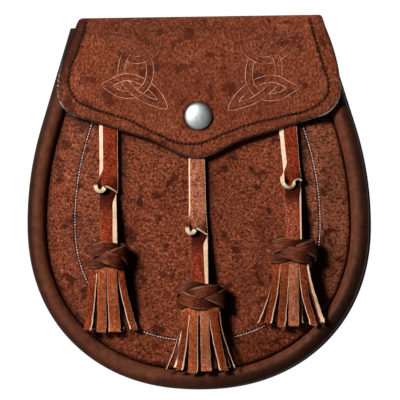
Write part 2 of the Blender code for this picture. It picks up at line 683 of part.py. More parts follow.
def fringe_strip(tassel, layer, spread, count, head):
    """Surface of one strip: it leaves the head near its rim and fans out to the tassel's lower end."""
    half_width, half_depth, centre_z = head
    in_front = layer == "front"
    bulge = half_depth * math.sqrt(1.0 - (HEAD_SHARE * spread) ** 2)
    top_z = centre_z + bulge if in_front else centre_z - bulge + STRIP_THICKNESS
    end_z = FACE_Z + STRIP_REST + STRIP_THICKNESS + (STRIP_THICKNESS + 2 * GAP if in_front else 0.0)
    top_x = tassel["knot_x"] + HEAD_SHARE * half_width * spread
    end_x = tassel["fringe_x"] + 0.5 * (tassel["fringe_spread"] - STRIP_WIDTH) * spread * count / (count - 1)
    top_width = 2.0 * HEAD_SHARE * half_width / count - GAP
    start_y = tassel["knot_y"] - 0.5 * tassel["knot_height"] - 2 * GAP
    end_y = tassel["fringe_y"] + STRIP_END_BOW * spread * spread

    def surface(across, along):
        fan = along ** FAN_POWER
        half = 0.5 * (top_width + (STRIP_WIDTH - top_width) * fan)
        tilt = STRIP_TILT * (1.0 - along) * spread * (-1.0 if in_front else 1.0)
        return (top_x + (end_x - top_x) * fan + across * half,
                start_y + (end_y - start_y) * along,
                top_z + (end_z - top_z) * smooth_step(along) + across * half * tilt)

    return surface


def build():
    """Clear the scene and make every piece."""
    for thing in list(bpy.data.objects):
        bpy.data.objects.remove(thing)
    parts = bpy.data.collections.new("sporran_pouch")
    guides = bpy.data.collections.new("guides")
    for collection in (parts, guides):
        bpy.context.scene.collection.children.link(collection)

    make_back_panel(parts)
    make_gusset(parts, guides)
    make_front_panel(parts, guides)
    make_flap(parts, guides)
    make_snap(parts)
    make_belt_loop("belt_loop_left", -LOOP_X, parts)
    make_belt_loop("belt_loop_right", LOOP_X, parts)
    for tassel in TASSELS:
        make_strap(tassel, parts, guides)
        make_knot(tassel, parts)
        make_fringe(tassel, parts, guides)

    for thing in guides.objects:
        thing.hide_render = True
        thing.display_type = "WIRE"
    for thing in parts.objects:
        thing.data.shade_smooth()
        thing.data.set_sharp_from_angle(angle=math.radians(35.0))


build()
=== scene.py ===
"""Finish of a leather day sporran: a small pouch lying on its back, seen from above its face.

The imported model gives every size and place. Units are metres: +X right, +Y to the flap's fold, +Z up.
"""

import math

import bmesh
import bpy
import numpy as np
from mathutils import Matrix, Vector


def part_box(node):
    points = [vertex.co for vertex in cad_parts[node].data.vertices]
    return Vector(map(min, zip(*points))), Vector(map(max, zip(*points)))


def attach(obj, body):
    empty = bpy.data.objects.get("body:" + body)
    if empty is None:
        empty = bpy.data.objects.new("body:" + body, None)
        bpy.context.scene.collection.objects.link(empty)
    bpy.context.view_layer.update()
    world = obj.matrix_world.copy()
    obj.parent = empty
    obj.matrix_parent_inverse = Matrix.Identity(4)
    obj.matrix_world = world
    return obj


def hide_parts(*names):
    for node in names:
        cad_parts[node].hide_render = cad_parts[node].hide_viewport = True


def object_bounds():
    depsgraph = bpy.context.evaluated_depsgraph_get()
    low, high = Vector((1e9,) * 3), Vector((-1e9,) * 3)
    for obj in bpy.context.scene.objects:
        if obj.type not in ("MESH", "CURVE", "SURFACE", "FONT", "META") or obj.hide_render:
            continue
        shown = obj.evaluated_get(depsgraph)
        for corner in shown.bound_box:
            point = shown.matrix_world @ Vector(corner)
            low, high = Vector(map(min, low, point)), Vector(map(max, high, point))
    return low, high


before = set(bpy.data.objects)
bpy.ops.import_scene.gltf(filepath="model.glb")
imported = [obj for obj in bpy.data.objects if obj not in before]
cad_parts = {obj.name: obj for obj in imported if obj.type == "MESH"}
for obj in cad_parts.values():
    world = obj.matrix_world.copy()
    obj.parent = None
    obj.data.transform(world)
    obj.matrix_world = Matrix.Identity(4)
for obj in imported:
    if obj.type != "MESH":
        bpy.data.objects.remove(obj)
cad_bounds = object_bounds()

# ---- Camera, lamps and table ----
# A long lens over the pouch, a little to the right of its face. One studio lamp from the
# upper left throws fairly hard shadows, and a pale table and a dim card light the rest.
VIEW_DISTANCE = 1.6
VIEW_TILT = math.radians(4.5)
VIEW_TURN = math.radians(-25.0)
VIEW_ROLL = math.radians(0.49)
VIEW_TARGET = Vector((0.00132, 0.00179, 0.0280))
VIEW_SPAN = 0.21472                 # width of the picture at the target
SKY_COLOUR = (0.96, 1.0, 1.0, 1.0)
SKY_STRENGTH = 0.016
CARD_WAY = (-0.80, -0.45, 0.0)      # what the snap mirrors is brightest on this side
CARD_FROM, CARD_TO = (-0.6, 0.7), (0.06, 0.80)
TABLE_REACH = 3.0
TABLE_Z = -0.0002
TABLE_GREY = (0.03, 0.03, 0.03, 1.0)
TABLE_GLOW = (1.0, 1.0, 1.0, 1.0)


def direction(turn, height):
    """Unit vector towards a point at this turn from +X and this height above the table."""
    return Vector((math.cos(turn) * math.cos(height), math.sin(turn) * math.cos(height), math.sin(height)))


def aim(thing, place, up):
    """Put a camera or lamp at a place, looking at the target."""
    back = (place - VIEW_TARGET).normalized()
    side = up.cross(back).normalized()
    turned = Matrix((side, back.cross(side), back)).transposed().to_4x4()
    thing.matrix_world = Matrix.Translation(place) @ turned


def placed(name, data):
    """New object, put into the scene."""
    thing = bpy.data.objects.new(name, data)
    bpy.context.scene.collection.objects.link(thing)
    return thing


def add_lamp(name, size, power, distance, turn, height):
    """Round area lamp that shines on the target."""
    lamp = placed(name, bpy.data.lights.new(name, "AREA"))
    lamp.data.shape = "DISK"
    lamp.data.size = size
    lamp.data.energy = power
    aim(lamp, VIEW_TARGET + distance * direction(math.radians(turn), math.radians(height)), Vector((0, 1, 0)))


def add_node(tree, kind, inputs=(), **settings):
    """Node with its settings, and with values or sockets put into its inputs."""
    node = tree.nodes.new(kind)
    for name, value in settings.items():
        setattr(node, name, value)
    for name, value in dict(inputs).items():
        if isinstance(value, bpy.types.NodeSocket):
            tree.links.new(value, node.inputs[name])
        else:
            node.inputs[name].default_value = value
    return node


camera = placed("camera", bpy.data.cameras.new("camera"))
camera.data.lens = camera.data.sensor_width * VIEW_DISTANCE / VIEW_SPAN
aim(camera, VIEW_TARGET + VIEW_DISTANCE * direction(VIEW_TURN, 0.5 * math.pi - VIEW_TILT),
    Vector((math.sin(VIEW_ROLL), math.cos(VIEW_ROLL), 0.0)))
bpy.context.scene.camera = camera

add_lamp("key_lamp", size=0.38, power=32.0, distance=1.4, turn=143.0, height=51.0)
add_lamp("left_card", size=0.8, power=1.2, distance=1.5, turn=205.0, height=38.0)

world = bpy.data.worlds.new("studio")
world.use_nodes = True
sky_tree = world.node_tree
way = add_node(sky_tree, "ShaderNodeTexCoord").outputs["Generated"]
side_of_sky = add_node(sky_tree, "ShaderNodeVectorMath", {0: way, 1: CARD_WAY}, operation="DOT_PRODUCT")
card = add_node(sky_tree, "ShaderNodeMapRange", {
    "Value": side_of_sky.outputs["Value"], "From Min": CARD_FROM[0], "From Max": CARD_FROM[1],
    "To Min": CARD_TO[0], "To Max": CARD_TO[1]})
mirrored = add_node(sky_tree, "ShaderNodeLightPath").outputs["Is Glossy Ray"]
strength = add_node(sky_tree, "ShaderNodeMix", {0: mirrored, 2: SKY_STRENGTH, 3: card.outputs["Result"]})
sky = sky_tree.nodes["Background"]
sky.inputs["Color"].default_value = SKY_COLOUR
sky_tree.links.new(strength.outputs[0], sky.inputs["Strength"])
bpy.context.scene.world = world
bpy.context.scene.view_settings.view_transform = "Standard"

table_mesh = bpy.data.meshes.new("table")
table_mesh.from_pydata([(x * TABLE_REACH, y * TABLE_REACH, TABLE_Z) for x, y in ((-1, -1), (1, -1), (1, 1), (-1, 1))],
                       [], [(0, 1, 2, 3)])
table = placed("table", table_mesh)
table_paint = bpy.data.materials.new("table_white")
table_paint.use_nodes = True
table_shader = table_paint.node_tree.nodes["Principled BSDF"]
for socket_name, value in (("Base Color", TABLE_GREY), ("Roughness", 0.9), ("Emission Color", TABLE_GLOW),
                           ("Emission Strength", 1.0)):
    table_shader.inputs[socket_name].default_value = value
table_mesh.materials.append(table_paint)

# ---- Back panel ----
# One piece of plain dark leather, cut to the pouch's outline and swelling out where the pouch
# is filled. Its cut edge is painted black, and a row of thread sews it to the gusset's flange.
LEATHER = 0.0022
LOW, HIGH = [np.array(corner) for corner in cad_bounds]
HALF_WIDTH = 0.5 * (HIGH[0] - LOW[0])
HALF_HEIGHT = 0.5 * (HIGH[1] - LOW[1])
WIDEST_Y = -0.0105
BOTTOM_POWER = 2.17
SHOULDER_RADIUS = 0.180
SIDE_LEAN = math.radians(17.0)
MOUTH_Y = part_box("back_panel")[1][1]
BACK_SEAM_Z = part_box("back_panel")[1][2] - LEATHER
BULGE_CENTRE = np.array((0.0, -0.0390))
BULGE_HALF = np.array((0.0800, 0.0520))
BULGE_FLAT = 0.5
EDGE_ROUND = 0.0004
BACK_SEAM_INSET = 0.0022
SEAM_STITCH = dict(Pitch=0.0036, Length=0.0030, Width=0.0008, Height=0.0006)
SPINE_INSET = 0.050                 # past this inset a panel's grid closes in on its middle line
SPINE_ROWS = 8
SPINE_BOW = 0.02
OUTLINE_STEPS = 160
SHOULDER_STEPS = 40
BACK_COLUMNS = 110
SAME_PLACE = 2e-6                   # points closer than this are joined
ROUNDED_FROM = math.radians(50.0)   # edges sharper than this are rounded


def rise(value, start=0.0, length=1.0):
    """Smooth rise from 0 to 1 while value goes over this length from this start."""
    share = np.clip((value - start) / length, 0.0, 1.0)
    return share * share * (3.0 - 2.0 * share)


def unit(vectors):
    """Vectors brought to the length 1."""
    return vectors / np.linalg.norm(vectors, axis=-1, keepdims=True)


def points_at(*coordinates):
    """Points from their coordinates, each a list or one number for all of them."""
    return np.stack(np.broadcast_arrays(*coordinates), axis=-1)


def travelled(line):
    """Distance along a line of points at each of them."""
    return np.concatenate([[0.0], np.cumsum(np.linalg.norm(np.diff(line, axis=0), axis=1))])


def pouch_outline(inset, top_y, count):
    """The pouch's outline moved inwards, from the top left round the bottom to the top right."""
    angle = np.linspace(0.0, 0.5 * np.pi, OUTLINE_STEPS)
    power = 2.0 / BOTTOM_POWER
    bottom = points_at(HALF_WIDTH * np.sin(angle) ** power,
                       WIDEST_Y - (HALF_HEIGHT + WIDEST_Y) * np.abs(np.cos(angle)) ** power)
    angle = np.linspace(0.0, SIDE_LEAN, SHOULDER_STEPS)[1:]
    shoulder = points_at(HALF_WIDTH - SHOULDER_RADIUS * (1.0 - np.cos(angle)),
                         WIDEST_Y + SHOULDER_RADIUS * np.sin(angle))
    run = np.linspace(0.0, HALF_HEIGHT, SHOULDER_STEPS)[1:, None]
    side = shoulder[-1] + run * np.array((-math.sin(SIDE_LEAN), math.cos(SIDE_LEAN)))
    right = np.vstack([bottom, shoulder, side])
    whole = np.vstack([right[:0:-1] * (-1.0, 1.0), right])
    tangent = unit(np.gradient(whole, axis=0))
    half = (whole - inset * points_at(tangent[:, 1], -tangent[:, 0]))[len(right) - 1:]
    half[0, 0] = 0.0
    travel = travelled(half)
    steps = np.linspace(0.0, np.interp(top_y, half[:, 1], travel), count + 1)
    half = points_at(*[np.interp(steps, travel, values) for values in half.T])
    return np.vstack([half[:0:-1] * (-1.0, 1.0), half])


def nested_grid(insets, heights, columns):
    """Grid over a panel: rows follow its outline at each inset, then close in on its middle line.

    Every row ends on the mouth, and lies at its own height.
    """
    rows = [pouch_outline(inset, MOUTH_Y, columns) for inset in insets]
    ring = pouch_outline(SPINE_INSET, MOUTH_Y, columns)
    along = np.abs(np.linspace(-1.0, 1.0, len(ring)))
    spine = points_at(0.0, ring[columns, 1] + (MOUTH_Y - ring[columns, 1]) * along)
    spine[:, 1] = np.where(along < 1.0, spine[:, 1] + SPINE_BOW * (1.0 - along) * (1.0 + along), MOUTH_Y)
    rows += [ring + (spine - ring) * share for share in np.linspace(0.0, 1.0, SPINE_ROWS)]
    flat = np.array(rows)
    z = np.append(heights, [heights[-1]] * SPINE_ROWS)[:, None, None] * np.ones_like(flat[..., :1])
    return np.concatenate([flat, z], axis=2)


def grid_faces(rows, columns, wrap=False, loop=False, start=0, flip=False):
    """Quads of a grid of points, wound so that rows run down and columns run right on the outer side.

    Its columns can be wrapped round, and its last row joined to the first as a loop.
    """
    faces = []
    for i in range(rows if loop else rows - 1):
        for j in range(columns if wrap else columns - 1):
            row, below, k = i * columns, (i + 1) % rows * columns, (j + 1) % columns
            quad = (row + j, below + j, below + k, row + k)
            faces.append(tuple(start + index for index in (quad[::-1] if flip else quad)))
    return faces


def mark(piece, name, values):
    """Write a point attribute that a material reads."""
    piece.data.attributes.new(name, "FLOAT", "POINT").data.foreach_set("value", np.asarray(values, np.float32))


def new_piece(name, points, faces, materials, indices=None, **marks):
    """Object at the origin from points and faces, with its seams closed and its faces pointing out."""
    mesh = bpy.data.meshes.new(name)
    mesh.from_pydata(np.asarray(points, dtype=float).reshape(-1, 3).tolist(), [], faces)
    for material in materials:
        mesh.materials.append(material)
    if indices is not None:
        mesh.polygons.foreach_set("material_index", np.asarray(indices, dtype=np.int32))
    piece = placed(name, mesh)
    for mark_name, values in marks.items():
        mark(piece, mark_name, values)
    bm = bmesh.new()
    bm.from_mesh(mesh)
    bmesh.ops.remove_doubles(bm, verts=bm.verts, dist=SAME_PLACE)
    bmesh.ops.dissolve_degenerate(bm, edges=bm.edges, dist=0.5 * SAME_PLACE)
    bmesh.ops.recalc_face_normals(bm, faces=bm.faces)
    bm.to_mesh(mesh)
    bm.free()
    return piece


def settle(piece, sharp):
    """Turn a piece and its modifiers into a plain mesh, smooth between its sharp edges."""
    graph = bpy.context.evaluated_depsgraph_get()
    mesh = bpy.data.meshes.new_from_object(piece.evaluated_get(graph), preserve_all_data_layers=True,
                                           depsgraph=graph)
    piece.modifiers.clear()
    piece.data = mesh
    mesh.shade_smooth()
    mesh.set_sharp_from_angle(angle=math.radians(sharp))
    return piece


def slab(name, outer, inner, materials, rims, edge_round=EDGE_ROUND, cut_sides=False):
    """Closed wall between two grids of points. Each rim is named with the number of its material."""
    rows, columns = outer.shape[:2]
    count = rows * columns
    faces = grid_faces(rows, columns) + grid_faces(rows, columns, start=count, flip=True)
    indices = [0] * len(faces)
    if cut_sides:
        for i in range(rows - 1):
            indices[i * (columns - 1)] = indices[(i + 1) * (columns - 1) - 1] = 1
    lines = {"first": [(0, j) for j in range(columns)], "last": [(rows - 1, j) for j in range(columns)],
             "left": [(i, 0) for i in range(rows)], "right": [(i, columns - 1) for i in range(rows)]}
    for rim, material_number in rims.items():
        edge = [i * columns + j for i, j in lines[rim]]
        faces += [(a, b, b + count, a + count) for a, b in zip(edge, edge[1:])]
        indices += [material_number] * (len(edge) - 1)
    piece = new_piece(name, np.concatenate([outer.reshape(-1, 3), inner.reshape(-1, 3)]), faces, materials, indices)
    bevel = piece.modifiers.new("rounded_edges", "BEVEL")
    bevel.width = edge_round
    bevel.segments = 2
    bevel.limit_method = "ANGLE"
    bevel.angle_limit = ROUNDED_FROM
    return settle(piece, sharp=25.0)


def finish_piece(piece, slot, *nodes):
    """Hang a finished piece on the pouch in place of the plain solids. Its slot is not used."""
    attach(piece, "root")
    if nodes:
        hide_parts(*nodes)


class Paint:
    """Node tree of one material, built up from noise, mixes and bumps on Object coordinates."""

    def __init__(self, name, roughness, metallic=0.0):
        self.material = bpy.data.materials.new(name)
        self.material.use_nodes = True
        self.tree = self.material.node_tree
        self.shader = self.tree.nodes["Principled BSDF"]
        self.shader.inputs["Roughness"].default_value = roughness
        self.shader.inputs["Metallic"].default_value = metallic
        self.place = self.tree.nodes.new("ShaderNodeTexCoord").outputs["Object"]
        self.normal = None

    def add(self, kind, inputs=(), output=0, **settings):
        """One output of a new node."""
        return add_node(self.tree, kind, inputs, **settings).outputs[output]

    def stretched(self, scale, turn=0.0):
        """Object coordinates stretched by a scale along each axis."""
        return self.add("ShaderNodeMapping", {"Vector": self.place, "Scale": scale, "Rotation": (0.0, 0.0, turn)})

    def noise(self, size, detail=3.0, rough=0.6, place=None):
        """Cloudy noise whose lumps are about this size, from 0 to 1."""
        return self.add("ShaderNodeTexNoise", {"Vector": place or self.place, "Scale": 1.0 / size,
                                               "Detail": detail, "Roughness": rough})

    def cells(self, size):
        """Distance inside rounded cells of this size."""
        return self.add("ShaderNodeTexVoronoi", {"Vector": self.place, "Scale": 1.0 / size}, feature="SMOOTH_F1")

    def span(self, value, low, high, top=1.0, base=0.0):
        """Value brought from low..high to base..top, and held there."""
        return self.add("ShaderNodeMapRange", {"Value": value, "From Min": low, "From Max": high,
                                               "To Min": base, "To Max": top})

    def times(self, first, second):
        """Product of two values."""
        return self.add("ShaderNodeMath", {0: first, 1: second}, operation="MULTIPLY")

    def attribute(self, name):
        """Value of a point attribute."""
        return self.add("ShaderNodeAttribute", output="Fac", attribute_name=name)

    def blend(self, share, first, second):
        """Mix of two colours by a share."""
        first, second = [(*value, 1.0) if isinstance(value, tuple) else value for value in (first, second)]
        return self.add("ShaderNodeMix", {0: share, 6: first, 7: second}, output=2, data_type="RGBA")

    def clouded(self, colour, other, noise, low, high, top=1.0):
        """Another colour laid over one in the clouds of a noise."""
        return self.blend(self.span(self.noise(*noise), low, high, top), colour, other)

    def bump(self, height, depth, invert=False):
        """Add relief of this depth in metres to the surface."""
        inputs = {"Height": height, "Distance": depth, "Strength": 1.0}
        if self.normal:
            inputs["Normal"] = self.normal
        self.normal = self.add("ShaderNodeBump", inputs, invert=invert)

    def done(self, colour, roughness=None, **sockets):
        """Wire the colour, relief and roughness, set plain sockets, and hand over the material."""
        self.tree.links.new(colour, self.shader.inputs["Base Color"])
        if roughness:
            self.tree.links.new(roughness, self.shader.inputs["Roughness"])
        if self.normal:
            self.tree.links.new(self.normal, self.shader.inputs["Normal"])
        for name, value in sockets.items():
            self.shader.inputs[name.replace("_", " ")].default_value = value
        return self.material


def scaled(colour, share):
    """Darker or lighter colour of the same hue."""
    return tuple(share * value for value in colour)


def plain_leather(name, dark, middle, light, roughness, grain=0.00006, grain_size=0.0011, gloss=0.25,
                  marked="burnish_and_painted_shade", burnt_and_shade=None):
    """Smooth dyed leather: a fine pebble, faint clouds and a few darker spots, and darker where marked, for burnishing
    and for painted shade.
    """
    paint = Paint(name, roughness)
    colour = paint.clouded(middle, light, (0.004, 4.0), 0.35, 0.65)
    colour = paint.clouded(colour, dark, (0.0012, 3.0, 0.7), 0.54, 0.70, 0.6)
    colour = paint.clouded(colour, dark, (0.022, 3.0), 0.50, 0.75, 0.5)
    # darker where marked: real burnishing, and painted shade laid into the colour
    colour = paint.blend(paint.attribute(marked), colour, burnt_and_shade or scaled(dark, 0.15))
    paint.bump(paint.cells(grain_size), grain, invert=True)
    paint.bump(paint.noise(0.0030, 4.0, 0.65), 2.0 * grain)
    return paint.done(colour, paint.span(paint.noise(0.0022, 3.0), 0.3, 0.7, roughness + 0.08, roughness - 0.08),
                      Specular_IOR_Level=gloss)


def back_height(x, y):
    """Outer face of the back panel, which swells down to the table."""
    reach = np.hypot((x - BULGE_CENTRE[0]) / BULGE_HALF[0], (y - BULGE_CENTRE[1]) / BULGE_HALF[1])
    return BACK_SEAM_Z * rise(reach, BULGE_FLAT, 1.0 - BULGE_FLAT)


back_leather = plain_leather("plain_back_leather", (0.020, 0.009, 0.007), (0.055, 0.021, 0.014),
                             (0.080, 0.032, 0.021), roughness=0.58)
edge_paint = plain_leather("black_edge_paint", (0.002, 0.002, 0.002), (0.006, 0.005, 0.005),
                           (0.018, 0.016, 0.015), roughness=0.5, grain=0.00003, gloss=0.15)

back_insets = np.concatenate([[0.0, 0.0010, 0.0022, 0.0034, 0.0050], np.linspace(0.0080, 0.0470, 14)])
back_outer = nested_grid(back_insets, np.zeros(len(back_insets)), BACK_COLUMNS)
back_outer[..., 2] = back_height(back_outer[..., 0], back_outer[..., 1])
back_inner = back_outer + (0.0, 0.0, LEATHER)
back_panel = slab("back_panel_leather", back_outer, back_inner, [back_leather, edge_paint],
                  rims={"first": 1, "left": 1, "right": 1})
finish_piece(back_panel, "back_leather", "back_panel")

# ---- Gusset ----
# The pouch's side wall is one strip of smooth dark leather. It is sewn in behind the face,
# rolled over as the thick rim, and turned out at the back for the seam with the back panel.
GAP = 0.0003
GUSSET_LEATHER = 0.0020
GUSSET_TOP_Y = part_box("gusset")[1][1] + 0.0010
ROLL_RADIUS = 0.0049
ROLL_U = -0.0055                    # outwards from the pouch's outline
ROLL_Z = 0.0281
INNER_FLANGE_Z = 0.0246
WALL_SWEEP_Z = 0.0195
WALL_WAIST = (-0.0041, 0.0140)
FLANGE_BEND = 0.0010
ROLL_WAVE = 0.00016                 # the roll was bent by hand
ROLL_WAVE_RUN = 60.0
GUSSET_COLUMNS = 150
FLANGE_REACH = (-0.0012, 0.0)       # where its flat part starts and ends, outwards from the outline
SHADE_BELOW_ROLL = (0.0180, 0.0065)       # painted shade on the wall below this height, fading over this length
BESIDE_FLAP_X = (0.040, 0.010)      # the roll is dark beside the flap's upper left: how far out, and the fade
BESIDE_FLAP_Y = (0.056, 0.012)
BESIDE_FLAP_DARK = 0.85
MM = 0.001
# painted shade on the roll, deepest on the sides turned from the lamp and where tassels cast shadow, by direction from
# the pouch's middle in degrees clockwise from +X: strength, reach and fade in mm from its outer side, and strength over
# its whole width
ROLL_SHADE = ((-180.0, 0.85, 2.4, 3.8, 0.05), (-60.0, 0.60, 3.0, 4.5, 0.0), (0.0, 0.62, 3.5, 4.5, 0.05),
            (20.0, 0.75, 4.5, 4.0, 0.12), (40.0, 0.88, 6.0, 3.0, 0.28), (59.0, 0.76, 4.8, 3.6, 0.0),
            (82.0, 0.75, 6.5, 3.0, 0.28), (96.0, 0.50, 5.0, 4.0, 0.18), (107.0, 0.35, 2.0, 3.5, 0.0),
            (125.0, 0.55, 2.0, 3.4, 0.02), (180.0, 0.85, 2.4, 3.8, 0.05))


def fall(value, start, length):
    """Smooth fall from 1 to 0 while value goes over this length from this start."""
    return 1.0 - rise(value, start, length)


def smooth_line(points, count):
    """Smooth curve through points, with the same number of steps between each pair."""
    points = np.asarray(points, dtype=float)
    padded = np.vstack([2 * points[0] - points[1], points, 2 * points[-1] - points[-2]])
    share = np.linspace(0.0, 1.0, count + 1)[:-1, None]
    spans = []
    for a, b, c, d in zip(padded, padded[1:], padded[2:], padded[3:]):
        spans.append(0.5 * (2 * b + (c - a) * share + (2 * a - 5 * b + 4 * c - d) * share ** 2
                            + (3 * b - a - 3 * c + d) * share ** 3))
    return np.vstack(spans + [points[-1:]])


def normals_of(line):
    """Unit normals on the left of a flat line."""
    tangent = np.gradient(line, axis=0)
    tangent[0], tangent[-1] = line[1] - line[0], line[-1] - line[-2]
    tangent = unit(tangent)
    return points_at(-tangent[:, 1], tangent[:, 0])


def ripple(along, seed, waves=5):
    """Uneven wave along a line, from about -1 to 1, the same for the same seed."""
    chance = np.random.default_rng(seed)
    total = np.zeros_like(along)
    for k in range(waves):
        total += chance.uniform(0.5, 1.0) * np.sin(along * chance.uniform(1.2, 2.0) * (k + 1) ** 1.4
                                                   + chance.uniform(0.0, 6.28))
    return total / (0.6 * waves)


def swept_wall(section, thickness, top_y, columns):
    """Outer and inner grids of a wall whose section, outwards and up, follows the outline."""
    half = 0.5 * thickness * normals_of(section)
    grids = []
    for line in (section + half, section - half):
        grids.append(np.array([points_at(*pouch_outline(-u, top_y, columns).T, z) for u, z in line]))
    return grids


def points_of(piece):
    """Points of a piece's mesh as an array."""
    flat = np.empty(3 * len(piece.data.vertices))
    piece.data.vertices.foreach_get("co", flat)
    return flat.reshape(-1, 3)


def distance_to(points, line):
    """Distance of each flat point from a dense line of flat points."""
    nearest = np.full(len(points), np.inf)
    for spot in line:
        nearest = np.minimum(nearest, (points[:, 0] - spot[0]) ** 2 + (points[:, 1] - spot[1]) ** 2)
    return np.sqrt(nearest)


rim_leather = plain_leather("smooth_rim_leather", (0.026, 0.008, 0.005), (0.083, 0.023, 0.0110),
                            (0.131, 0.041, 0.020), roughness=0.55, gloss=0.04)
# raw cut leather, with painted shade where it is marked
raw_leather = plain_leather("raw_cut_leather", (0.42, 0.23, 0.13), (0.66, 0.42, 0.27), (0.78, 0.55, 0.39),
                            roughness=0.8, grain_size=0.0005, gloss=0.03, marked="painted_shade_on_cut",
                            burnt_and_shade=(0.060, 0.010, 0.004))

flange_z = BACK_SEAM_Z + LEATHER + GAP + 0.5 * GUSSET_LEATHER
roll_middle = ROLL_RADIUS - 0.5 * GUSSET_LEATHER
turn = np.linspace(np.pi, 0.0, 33)
roll_line = points_at(ROLL_U + roll_middle * np.cos(turn), ROLL_Z + roll_middle * np.sin(turn))
roll_side = ROLL_U + roll_middle
waist_u, waist_z = WALL_WAIST
wall_line = smooth_line([(roll_side, ROLL_Z), (0.5 * (roll_side + waist_u + 0.5 * GUSSET_LEATHER), WALL_SWEEP_Z),
                         (waist_u, waist_z), (waist_u + 0.3 * FLANGE_BEND, flange_z + FLANGE_BEND),
                         (waist_u + 1.3 * FLANGE_BEND, flange_z), *((u, flange_z) for u in FLANGE_REACH)], 6)
inner_line = points_at(ROLL_U - roll_middle, np.linspace(INNER_FLANGE_Z, ROLL_Z, 4)[:3])
gusset_section = np.vstack([inner_line, roll_line, wall_line[1:]])
gusset_outer, gusset_inner = swept_wall(gusset_section, GUSSET_LEATHER, GUSSET_TOP_Y, GUSSET_COLUMNS)
run = np.linspace(0.0, ROLL_WAVE_RUN, gusset_outer.shape[1])
crown = np.zeros(len(gusset_section))
crown[len(inner_line):len(inner_line) + len(turn)] = np.sin(np.pi - turn) ** 2
for grid in (gusset_outer, gusset_inner):
    grid[..., 2] += ROLL_WAVE * crown[:, None] * ripple(run, 3)[None, :]
gusset = slab("gusset_leather", gusset_outer, gusset_inner, [rim_leather, edge_paint, raw_leather],
              rims={"first": 1, "last": 1, "left": 2, "right": 2})
gusset_points = points_of(gusset)
x, y, z = gusset_points.T
beside_flap = BESIDE_FLAP_DARK * rise(-x, *BESIDE_FLAP_X) * rise(y, *BESIDE_FLAP_Y)
from_outline = distance_to(gusset_points, pouch_outline(0.0, GUSSET_TOP_Y, 2 * GUSSET_COLUMNS)) / MM
shade_turn, *shade_columns = np.array(ROLL_SHADE).T
turn_of = np.degrees(np.arctan2(WIDEST_Y - y, x))
strength, reach, fade, whole = [np.interp(turn_of, shade_turn, column) for column in shade_columns]
# painted shade on the roll's outer side and across it
outer_side = np.maximum(whole, strength * fall(from_outline, reach, fade))
# painted shade below the roll and on it, and the roll darker beside the flap's upper left
mark(gusset, "burnish_and_painted_shade", np.maximum(np.maximum(fall(z, *SHADE_BELOW_ROLL), outer_side), beside_flap))
finish_piece(gusset, "rim_leather", "gusset")

# ---- Front panel ----
# The face of the pouch is speckled brown leather, turned down at its edge against the gusset's
# inner flange. A line is pressed into it all round, with a row of fine beads in its groove.
FACE_Z = 0.0325
FACE_INSET = 0.0107
FACE_EDGE_Z = 0.0290
FACE_CROWN_WIDTH = 0.0160
FACE_BEND = LEATHER + 0.0004
FACE_COLUMNS = 130
BEAD_DARK, BEAD_DARK_WIDTH = 0.95, 0.0009
EDGE_DARK, EDGE_DARK_WIDTH = (0.68, 0.58), 0.0030    # painted shade in the valley at the face's edge: at the left, and how much less at the right
EDGE_DARK_TURN = (0.020, 0.045)
FLAP_SHADOW_FADE = (-0.0005, 0.0070)
THONG_SHADOW, THONG_SHADOW_FADE = 0.75, (0.0010, 0.0050)
LIT_LEFT_X, LIT_LEFT_WIDTH = -0.060, 0.008
LIT_RIGHT, LIT_RIGHT_TURN = 2.6, (0.050, 0.010)
BURNT_AND_SHADE = (0.016, 0.005, 0.003)
SCUFFED = (0.60, 0.47, 0.40)
BEAD_INSET = 0.0268
BEAD_PITCH = 0.0015
BEAD_LENGTH = 0.00125
BEAD_WIDTH = 0.00058
BEAD_GROOVE_DEPTH = 0.00050
BEAD_GROOVE_WIDTH = 0.00065
BEAD_GROOVE_REACH = 0.0018
# where painted shadow lies beside the thongs and tassels: x, upper and lower end in mm
THONG_SHADOWS = ((-41.2, 60.0, -24.0), (6.2, 30.0, -45.0), (56.6, 60.0, -20.0), (-35.5, -28.0, -60.0),
              (15.0, -50.0, -84.0), (64.0, -26.0, -58.0))
# the flap's lower edge in mm, and how dark the painted shadow is just below it
FLAP_SHADOW = ((-76.0, 52.0, 0.95), (-63.0, 46.3, 0.95), (-31.0, 36.7, 0.65), (-17.5, 31.4, 0.75), (-6.7, 27.0, 0.3),
              (1.3, 25.1, 0.15), (12.1, 28.1, 0.15), (22.8, 33.2, 0.45), (33.5, 37.8, 0.75), (38.9, 39.3, 0.80),
              (60.4, 44.9, 0.90), (68.4, 46.9, 0.90), (80.0, 52.5, 0.90))


def halo(distance, width):
    """Share that is 1 at no distance and almost nothing at twice this width."""
    return np.exp(-(distance / width) ** 2)


